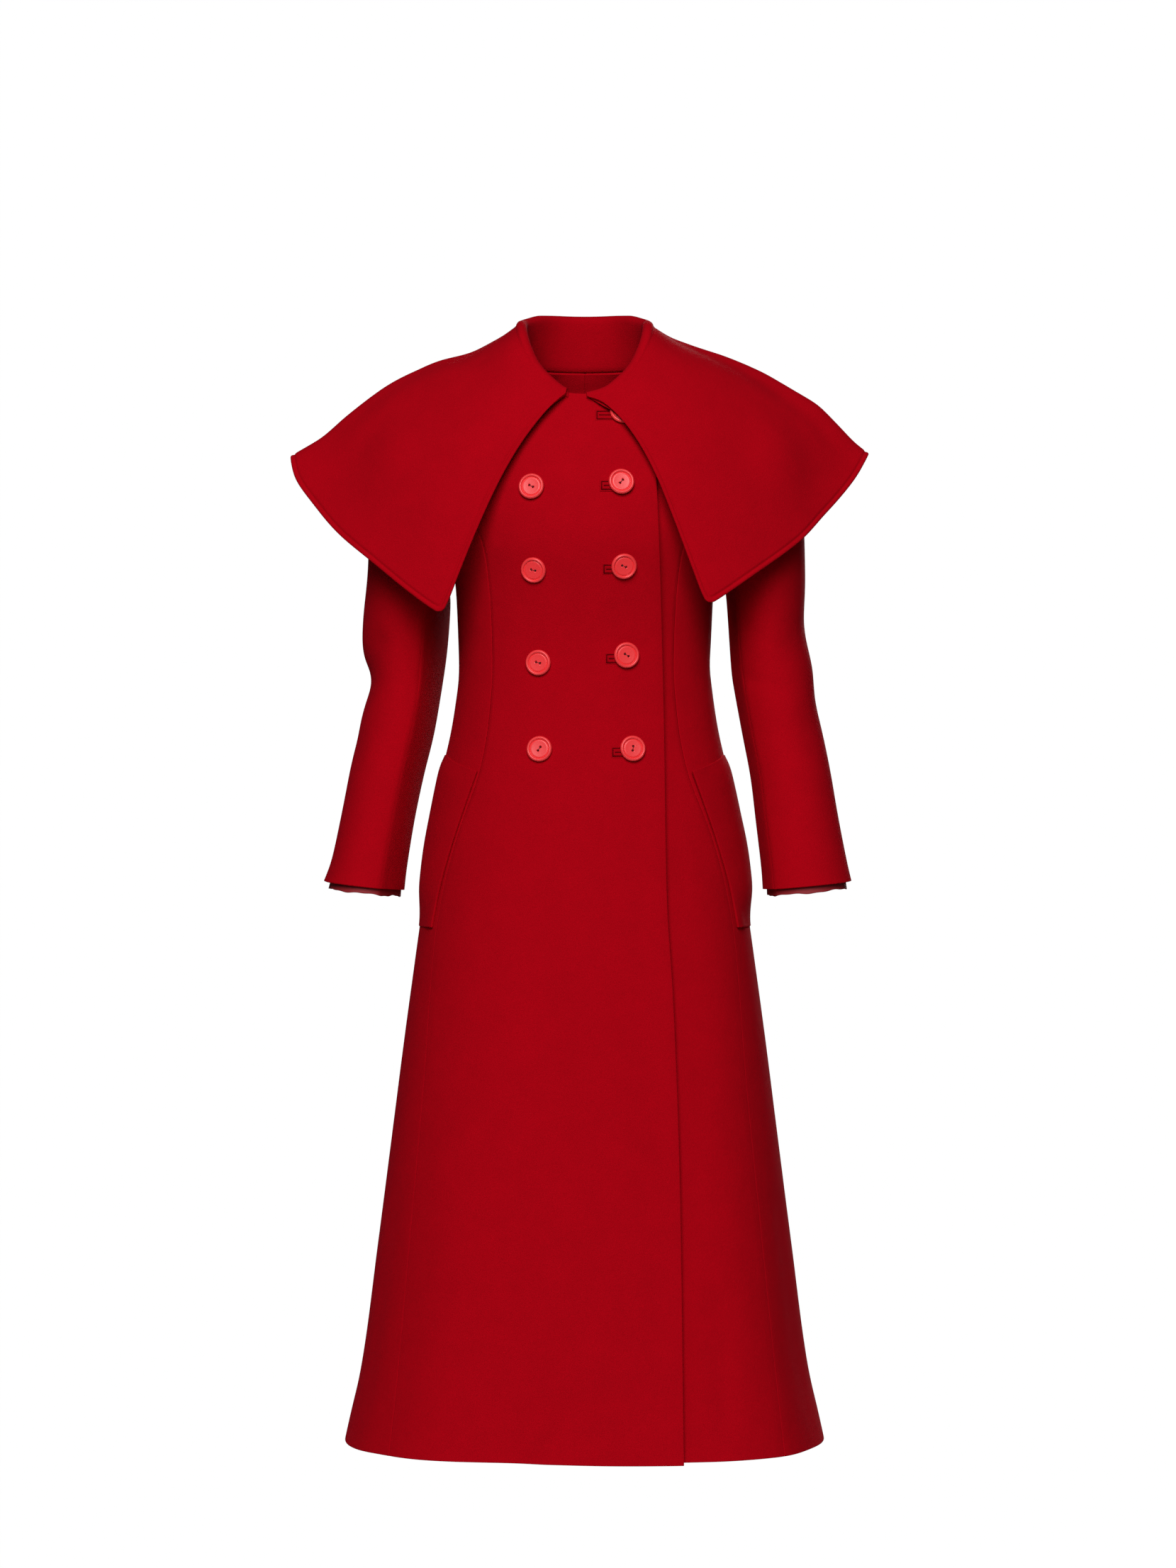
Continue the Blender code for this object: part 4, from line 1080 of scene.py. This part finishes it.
def sleeve_stations(table, turn):
    """Points of the sleeve's sections at one angle round it, from armhole to cuff."""
    points = [armhole_loop_point(turn)]
    for outer_x, outer_z, inner_x, inner_z, centre_y, half_depth in table:
        centre = Vector(((outer_x + inner_x) / 2.0, centre_y, (outer_z + inner_z) / 2.0))
        reach = Vector(((outer_x - inner_x) / 2.0, 0.0, (outer_z - inner_z) / 2.0))
        points.append(centre + reach * math.sin(turn) + Vector((0.0, -half_depth * math.cos(turn), 0.0)))
    return points


def curve_through(points, share):
    """A point on a smooth curve through points, spaced evenly by their number."""
    place = share * (len(points) - 1)
    step = min(int(place), len(points) - 2)
    t = place - step
    before = points[max(step - 1, 0)]
    start = points[step]
    end = points[step + 1]
    after = points[min(step + 2, len(points) - 1)]
    return 0.5 * (2.0 * start + (end - before) * t
                  + (2.0 * before - 5.0 * start + 4.0 * end - after) * t * t
                  + (3.0 * start - before - 3.0 * end + after) * t**3)


def sleeve_point(side, turn, share):
    """A point of the sleeve's outer surface; from the front seam to the inner side it is nearly flat."""
    table = SLEEVE_LEFT if side > 0 else SLEEVE_RIGHT
    seam = math.radians(FRONT_SLEEVE_SEAM["left" if side > 0 else "right"])
    round_turn = turn - math.tau if turn > math.pi else turn
    point = curve_through(sleeve_stations(table, round_turn), share)
    if INNER_TURN < round_turn < seam:
        start = curve_through(sleeve_stations(table, seam), share)
        end = curve_through(sleeve_stations(table, INNER_TURN), share)
        place = (seam - round_turn) / (seam - INNER_TURN)
        point = mix(point, mix(start, end, place), INNER_FLATNESS * ease(share / FLAT_FROM_SHARE))
    return Vector((point.x * side, point.y, point.z))


def neckline_point(around):
    """Point of the neckline at an angle round the neck from the front."""
    x = NECK_HALF_WIDTH * math.sin(around)
    front_share = max(math.cos(around), 0.0)
    z = NECK_SIDE_Z + (NECK_FRONT_Z - NECK_SIDE_Z) * front_share
    return body_point(angle_at(x, z, math.cos(around) < 0.0), z)


def roll_centre(around):
    """Centre of the collar's roll, at an angle round the neck from the front."""
    degrees = math.degrees(around)
    outward = away_from_neck(around)
    offset = STAND_OFFSET + read(COLLAR_STAND, degrees, 3) - read(COLLAR_STAND, degrees, 2)
    point = neckline_point(around) + outward * offset
    point.z += COLLAR_SEAM_GAP + read(COLLAR_STAND, degrees, 1)
    return point


def oval_reach(point, height, clearance):
    """Where a point lies against the body's section: under 1 is inside."""
    half_width, front, back, fullness = body_section(height)
    depth = front if point.y < 0.0 else back
    across = (abs(point.x) / (half_width + clearance)) ** fullness
    forward = (abs(point.y) / (depth + clearance)) ** fullness
    return max((across + forward) ** (1.0 / fullness), 0.001)


def soft_push(reach, softness):
    """Factor that carries an inside point out to 1 without a kink."""
    pushed = 0.5 * (reach + 1.0 + math.sqrt((reach - 1.0) ** 2 + softness**2))
    return pushed / reach


def lift_over_shoulder(point, clearance):
    """Raise a collar point that would lie closer to the shoulder's slope than its clearance."""
    low = SHOULDER_TIP_Z - SEARCH_MARGIN
    if oval_reach(point, low, 0.0) >= 1.0:
        return point
    slope = highest(low, NECK_SIDE_Z, lambda z: oval_reach(point, z, 0.0) < 1.0, SHOULDER_HALVINGS)
    least = slope + clearance
    above = point.z - least
    raised = least + 0.5 * (above + math.sqrt(above * above + SHOULDER_SOFTNESS**2))
    return Vector((point.x, point.y, raised))


def push_off_form(point, clearance):
    """Carry a collar point out of the body and of the sleeve head below it."""
    point = lift_over_shoulder(point, clearance)
    strength = ease((SHOULDER_TIP_Z + SHOULDER_PUSH_ABOVE - point.z) / SHOULDER_PUSH_BLEND)
    scale = mix(1.0, soft_push(oval_reach(point, point.z, clearance), BODY_SOFTNESS), strength)
    point = Vector((point.x * scale, point.y * scale, point.z))
    centre = Vector(SLEEVE_HEAD_CENTRE)
    away = point - centre
    reach = math.sqrt(sum((away[i] / SLEEVE_HEAD_RADII[i]) ** 2 for i in range(3)))
    return centre + away * soft_push(max(reach, 0.05), SLEEVE_HEAD_SOFTNESS)


def collar_fall(side, around, share):
    """A point of the collar's outer surface, from the roll to its outer edge."""
    table = COLLAR_LEFT if side > 0 else COLLAR_RIGHT
    shoulder_line = SHOULDER_LINE_LEFT if side > 0 else SHOULDER_LINE_RIGHT
    degrees = math.degrees(around)
    edge = Vector(tuple(read(table, degrees, column) for column in (1, 2, 3)))
    sway, belly, shoulder = (read(table, degrees, column) for column in (4, 5, 6))
    outward = away_from_neck(around)
    start = roll_centre(around) + outward * read(COLLAR_STAND, degrees, 3)
    point = mix(start, edge, share)
    along = (edge - start).normalized()
    level = outward.cross(Vector((0.0, 0.0, 1.0)))
    normal = level.cross(along).normalized()
    if normal.dot(outward) < 0.0:
        normal.negate()
    point += normal * belly * math.sin(math.pi * share**BELLY_POWER)
    point += Vector((0.0, 0.0, shoulder * read(shoulder_line, share, 1)))
    point.x += sway * math.sin(math.pi * share ** (LEFT_SWAY_POWER if side > 0 else RIGHT_SWAY_POWER))
    clearance = mix(COLLAR_NECK_CLEARANCE, COLLAR_CLEARANCE, ease(share / NECK_CLEARANCE_SHARE))
    pushed = push_off_form(point, clearance)
    return mix(point, pushed, ease(share / NECK_FREE_SHARE))


def turned(name, profile, material):
    """A body turned round its upright axis from a profile of (radius, height)."""
    form = bmesh.new()
    corners = [form.verts.new((radius, 0.0, height)) for radius, height in profile]
    for first, second in zip(corners, corners[1:]):
        form.edges.new((first, second))
    piece = piece_from(form, name, material)
    screw = piece.modifiers.new("Turned", "SCREW")
    screw.axis = "Z"
    screw.steps = BUTTON_TURN_STEPS
    screw.render_steps = BUTTON_TURN_STEPS
    screw.use_merge_vertices = True
    screw.merge_threshold = 0.00001
    screw.use_smooth_shade = True
    screw.use_normal_calculate = True
    return piece


def rod(name, radius, ends, material):
    """A straight round rod between two places."""
    start, end = Vector(ends[0]), Vector(ends[1])
    form = bmesh.new()
    bmesh.ops.create_cone(form, cap_ends=True, segments=24, radius1=radius, radius2=radius,
                          depth=(end - start).length)
    piece = piece_from(form, name, material, smooth=True)
    piece.location = (start + end) / 2.0
    piece.rotation_mode = "QUATERNION"
    piece.rotation_quaternion = (end - start).to_track_quat("Z", "Y")
    return piece


def button_profile():
    """Section of a button: slightly sunk disc, thin ring groove, rounded rim and rounded back."""
    shares = (
        (0.00, 0.0027), (0.30, 0.0027), (0.58, 0.0028), (0.66, 0.0029), (0.695, 0.0027),
        (0.715, 0.0021), (0.735, 0.0021), (0.755, 0.0030), (0.79, 0.0037), (0.84, 0.0041),
        (0.89, 0.0041), (0.94, 0.0037), (0.975, 0.0031), (1.00, 0.0022), (0.99, 0.0013),
        (0.95, 0.0006), (0.88, 0.0002), (0.78, 0.0), (0.00, 0.0),
    )
    return [(BUTTON_RADIUS * share, height) for share, height in shares]


def make_button(name, node, x, z, seat, hole_turn, materials):
    """Two-hole button on the outer front, its holes turned as sewn on, with the thread between them."""
    plastic, thread_look = materials
    point, outward = outer_front_point(x, z)
    button = turned(name, button_profile(), plastic)
    right = Vector((1.0, 0.0, 0.0))
    right = (right - outward * right.dot(outward)).normalized()
    up = outward.cross(right)
    turn = math.radians(hole_turn)
    line = Vector((math.cos(turn), math.sin(turn), 0.0))
    for step, end in enumerate((-1.0, 1.0)):
        spot = line * HOLE_APART * end
        cutter = rod(f"{name}_cutter_{step}", HOLE_RADIUS, (spot, spot + Vector((0.0, 0.0, CUTTER_LENGTH))),
                     plastic)
        cutter.location.z -= CUTTER_DROP
        cutter.parent = button
        cutter.hide_render = True
        cutter.hide_viewport = True
        cut = button.modifiers.new(f"Hole {step}", "BOOLEAN")
        cut.operation = "DIFFERENCE"
        cut.solver = "EXACT"
        cut.object = cutter
    button.matrix_world = frame_matrix(point + outward * seat, right, up, outward)
    reach = HOLE_APART + HOLE_RADIUS * THREAD_REACH
    thread = rod(f"{name}_thread", THREAD_RADIUS, (line * -reach, line * reach), thread_look)
    thread.location.z = THREAD_HEIGHT
    thread.parent = button
    for step, end in enumerate((-1.0, 1.0)):
        spot = line * HOLE_APART * end
        knot = rod(f"{name}_knot_{step}", KNOT_RADIUS,
                   (spot, spot + Vector((0.0, 0.0, KNOT_HEIGHT))), thread_look)
        knot.parent = button
    bpy.context.view_layer.update()
    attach(button, "root")
    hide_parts(node)
    return button


def frame_matrix(place, right, up, outward):
    """Matrix that sets a body's own axes along three directions at a place."""
    matrix = Matrix((right, up, outward)).transposed().to_4x4()
    matrix.translation = place
    return matrix


def welt_lift(share_up, share_along):
    """Height of a bound buttonhole over the cloth: border, fine ditch, two lips and the slit."""
    across = abs(share_up - 0.5) * WELT_HEIGHT
    from_end = min(share_along, 1.0 - share_along) * WELT_LENGTH
    from_edge = min(WELT_HEIGHT / 2.0 - across, from_end)
    border = WELT_RELIEF * ease(from_edge / WELT_BLEND) - WELT_EDGE_SINK
    ditch = WELT_RELIEF * math.exp(-(((from_edge - WELT_DITCH_IN) / WELT_RELIEF) ** 2))
    lips = WELT_LIPS * ease((from_edge - WELT_LIPS_IN) / WELT_BLEND)
    slit = WELT_RELIEF * math.exp(-((across / WELT_RELIEF) ** 2))
    slit *= ease((from_end - WELT_SLIT_IN) / WELT_SLIT_BLEND)
    return border - ditch + lips - slit


def welt_shadow_lines():
    """Ends of the dark rods that paint the shadow in a buttonhole's ditch round its outline and in its
    slit, in shares along and up it, with their radius.
    """
    side = WELT_DITCH_IN / WELT_LENGTH
    low = WELT_DITCH_IN / WELT_HEIGHT
    corners = ((side, low), (1.0 - side, low), (1.0 - side, 1.0 - low), (side, 1.0 - low))
    lines = [(corners[step], corners[(step + 1) % 4], WELT_SHADOW_LINE) for step in range(4)]
    return lines + [((2.0 * side, 0.5), (1.0 - 2.0 * side, 0.5), WELT_SLIT_SHADOW)]


def make_welt(name, node, centre, start, materials):
    """Bound buttonhole on the outer front, from beside the button to under it, in a slightly darker copy of
    the coat wool as painted shade.
    """
    wool, shadow = materials

    def place(along_share, up_share, lift):
        at_x = centre[0] - start + WELT_LENGTH * along_share
        at_z = centre[1] + WELT_HEIGHT * (up_share - 0.5)
        point, outward = outer_front_point(at_x, at_z)
        return point + outward * lift

    columns = even_shares(WELT_ALONG_STEPS, low=WELT_ALONG_SHARES, high=WELT_ALONG_SHARES)
    rows = [[place(along, up, WELT_SEAT + welt_lift(up, along)) for along in columns]
            for up in even_shares(WELT_UP_STEPS, low=WELT_UP_SHARES, high=WELT_UP_SHARES)]
    welt = cloth_shell(name, rows, WELT_CLOTH, wool, rounding=0)
    # Dark rods along the ditch and the slit are painted shadow; the slit is not cut open
    for step, (first, last, radius) in enumerate(welt_shadow_lines()):
        ends = (place(*first, WELT_SEAT + WELT_SHADOW_LINE_LIFT), place(*last, WELT_SEAT + WELT_SHADOW_LINE_LIFT))
        line = rod(f"{name}_line_{step}", radius, ends, shadow)
        line.parent = welt
    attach(welt, "root")
    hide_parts(node)
    return welt


def node_setup(name, colour, roughness):
    """A Principled material with its node tree and shader."""
    material = bpy.data.materials.new(name)
    material.use_nodes = True
    tree = material.node_tree
    shader = tree.nodes["Principled BSDF"]
    shader.inputs["Base Color"].default_value = (*colour, 1.0)
    shader.inputs["Roughness"].default_value = roughness
    return material, tree, shader


def noise_value(tree, scale, detail, low, high):
    """A noise of that many waves a metre, mapped to a range."""
    place = tree.nodes.new("ShaderNodeTexCoord")
    noise = tree.nodes.new("ShaderNodeTexNoise")
    noise.inputs["Scale"].default_value = scale
    noise.inputs["Detail"].default_value = detail
    tree.links.new(place.outputs["Object"], noise.inputs["Vector"])
    span = tree.nodes.new("ShaderNodeMapRange")
    span.inputs["From Min"].default_value = 0.3
    span.inputs["From Max"].default_value = 0.7
    span.inputs["To Min"].default_value = low
    span.inputs["To Max"].default_value = high
    tree.links.new(noise.outputs["Fac"], span.inputs["Value"])
    return span.outputs["Result"]


def bump(tree, scale, detail, strength, distance, under=None):
    """Fine unevenness from a noise, laid over another where one is given."""
    relief = tree.nodes.new("ShaderNodeBump")
    relief.inputs["Strength"].default_value = strength
    relief.inputs["Distance"].default_value = distance
    tree.links.new(noise_value(tree, scale, detail, 0.0, 1.0), relief.inputs["Height"])
    if under:
        tree.links.new(under, relief.inputs["Normal"])
    return relief.outputs["Normal"]


def wool_look(name, colour):
    """Felted wool: matte, softly mottled, with a short fibre nap."""
    material, tree, shader = node_setup(name, colour, 0.95)
    shader.inputs["Specular IOR Level"].default_value = 0.03
    shader.inputs["Sheen Weight"].default_value = 0.08
    shader.inputs["Sheen Roughness"].default_value = 0.45
    shader.inputs["Sheen Tint"].default_value = (1.0, 0.02, 0.06, 1.0)
    mottle = noise_value(tree, 40.0, 3.0, 0.97, 1.03)
    fibre = noise_value(tree, 1300.0, 2.0, 0.86, 1.12)
    both = tree.nodes.new("ShaderNodeMath")
    both.operation = "MULTIPLY"
    tree.links.new(mottle, both.inputs[0])
    tree.links.new(fibre, both.inputs[1])
    shade = tree.nodes.new("ShaderNodeVectorMath")
    shade.operation = "SCALE"
    shade.inputs[0].default_value = colour
    tree.links.new(both.outputs["Value"], shade.inputs["Scale"])
    tree.links.new(shade.outputs["Vector"], shader.inputs["Base Color"])
    uneven = bump(tree, 90.0, 2.0, 0.12, 0.0012)
    fuzz = bump(tree, 1100.0, 3.0, 0.45, 0.0004, under=uneven)
    tree.links.new(fuzz, shader.inputs["Normal"])
    return material


def lining_look(name, colour):
    """Smooth woven lining with a soft gleam."""
    material, tree, shader = node_setup(name, colour, 0.7)
    tree.links.new(bump(tree, 1800.0, 1.0, 0.3, 0.0002), shader.inputs["Normal"])
    return material


def plastic_look(name, colour):
    """Satin plastic with very slight unevenness."""
    material, tree, shader = node_setup(name, colour, 0.36)
    shader.inputs["Specular IOR Level"].default_value = 0.45
    tree.links.new(bump(tree, 400.0, 2.0, 0.04, 0.0002), shader.inputs["Normal"])
    return material


def declare_cloth(piece, node):
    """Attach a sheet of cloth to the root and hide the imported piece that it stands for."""
    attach(piece, "root")
    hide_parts(node)


def area_light(name, place, target, size, power):
    """A square soft light aimed at a point."""
    light = bpy.data.lights.new(name, "AREA")
    light.size = size
    light.energy = power
    lamp = bpy.data.objects.new(name, light)
    lamp.location = place
    lamp.rotation_mode = "QUATERNION"
    lamp.rotation_quaternion = (Vector(target) - Vector(place)).to_track_quat("-Z", "Y")
    lamp.visible_camera = False
    bpy.context.scene.collection.objects.link(lamp)
    return lamp


def stage_form(name, form, place, material):
    """A piece of the studio that isn't part of the coat."""
    piece = piece_from(form, name, material)
    piece.location = place
    return piece


def build_coat():
    """Make every visible piece of the coat."""
    wool = {name: wool_look(f"{name}_wool", WOOL) for name in ("front", "side", "back", "sleeve", "pocket")}
    collar_wool = wool_look("collar_wool", WOOL)
    # The welt wool is a darker copy of the coat wool, as painted shade
    welts = (wool_look("buttonhole_shaded_wool", WELT_SHADED_WOOL), wool_look("buttonhole_shadow", SHADOW_WOOL))
    lining = lining_look("cuff_lining", LINING)
    plastics = (plastic_look("button_plastic", CORAL), node_setup("button_thread", THREAD, 0.9)[0])
    declare_cloth(make_front_right(wool["front"]), "front_right")
    declare_cloth(make_front_left(wool["front"]), "front_left")
    collar = make_collar(collar_wool)
    declare_cloth(collar, "collar")
    for side_name, side in (("right", -1), ("left", 1)):
        declare_cloth(make_side(side_name, side, wool["side"]), f"side_{side_name}")
        declare_cloth(make_back(side_name, side, wool["back"]), f"back_{side_name}")
        seam = FRONT_SLEEVE_SEAM[side_name]
        top = make_sleeve_piece(f"sleeve_upper_{side_name}", side, seam, BACK_SLEEVE_SEAM,
                                TOP_SLEEVE_STEPS, wool["sleeve"])
        declare_cloth(top, f"sleeve_top_{side_name}")
        under = make_sleeve_piece(f"sleeve_lower_{side_name}", side, BACK_SLEEVE_SEAM, seam + 360.0,
                                  UNDER_SLEEVE_STEPS, wool["sleeve"])
        declare_cloth(under, f"sleeve_under_{side_name}")
        declare_cloth(make_pocket(side_name, side, wool["pocket"]), f"pocket_{side_name}")
        declare_cloth(make_cuff_lining(side_name, side, lining), f"cuff_lining_{side_name}")
    for number, (x, z) in enumerate(BUTTONS_RIGHT_COLUMN, start=1):
        make_button(f"coat_button_right_{number}", f"button_right_column_{number}", x, z,
                    BUTTON_SEAT, HOLE_TURNS_RIGHT[number - 1], plastics)
    for number, (x, z) in enumerate(BUTTONS_LEFT_COLUMN):
        start, drop = (TOP_WELT_START, TOP_WELT_DROP) if number == 0 else (WELT_START, WELT_DROP)
        make_welt(f"bound_hole_{number}", f"buttonhole_{number}", (x, z - drop), start, welts)
        make_button(f"coat_button_left_{number}", f"button_left_column_{number}", x, z,
                    BUTTON_WELT_SEAT, HOLE_TURNS_LEFT[number], plastics)


def build_studio():
    """Plain floor and backdrop, soft light from above the camera and behind, and the camera in front."""
    floor_form = bmesh.new()
    bmesh.ops.create_circle(floor_form, cap_ends=True, segments=96, radius=FLOOR_RADIUS)
    pale = node_setup("floor_white", (0.90, 0.90, 0.90), 0.9)[0]
    stage_form("floor", floor_form, (0.0, 0.0, FLOOR_Z), pale)
    round_form = bmesh.new()
    bmesh.ops.create_uvsphere(round_form, u_segments=48, v_segments=24, radius=BACKDROP_RADIUS)
    glow, _, shader = node_setup("backdrop_white", (0.0, 0.0, 0.0), 1.0)
    shader.inputs["Emission Color"].default_value = (1.0, 1.0, 1.0, 1.0)
    shader.inputs["Emission Strength"].default_value = 1.0
    backdrop = stage_form("backdrop", round_form, (0.0, 0.0, CAMERA[2]), glow)
    backdrop.visible_diffuse = False
    backdrop.visible_glossy = False
    backdrop.visible_transmission = False
    backdrop.visible_shadow = False
    area_light("key_light", *KEY_LIGHT)
    area_light("fill_light", *FILL_LIGHT)
    area_light("back_light", *BACK_LIGHT)
    world = bpy.data.worlds.new("soft_white")
    world.use_nodes = True
    sky = world.node_tree.nodes["Background"]
    sky.inputs["Color"].default_value = (1.0, 1.0, 1.0, 1.0)
    sky.inputs["Strength"].default_value = SKY_STRENGTH
    bpy.context.scene.world = world
    lens = bpy.data.cameras.new("camera")
    lens.sensor_fit = "VERTICAL"
    lens.sensor_height = SENSOR_HEIGHT
    lens.lens = LENS
    camera = bpy.data.objects.new("camera", lens)
    camera.location = CAMERA
    camera.rotation_euler = (math.radians(90.0), 0.0, 0.0)
    bpy.context.scene.collection.objects.link(camera)
    bpy.context.scene.camera = camera
    bpy.context.scene.view_settings.view_transform = "Standard"


build_coat()
build_studio()
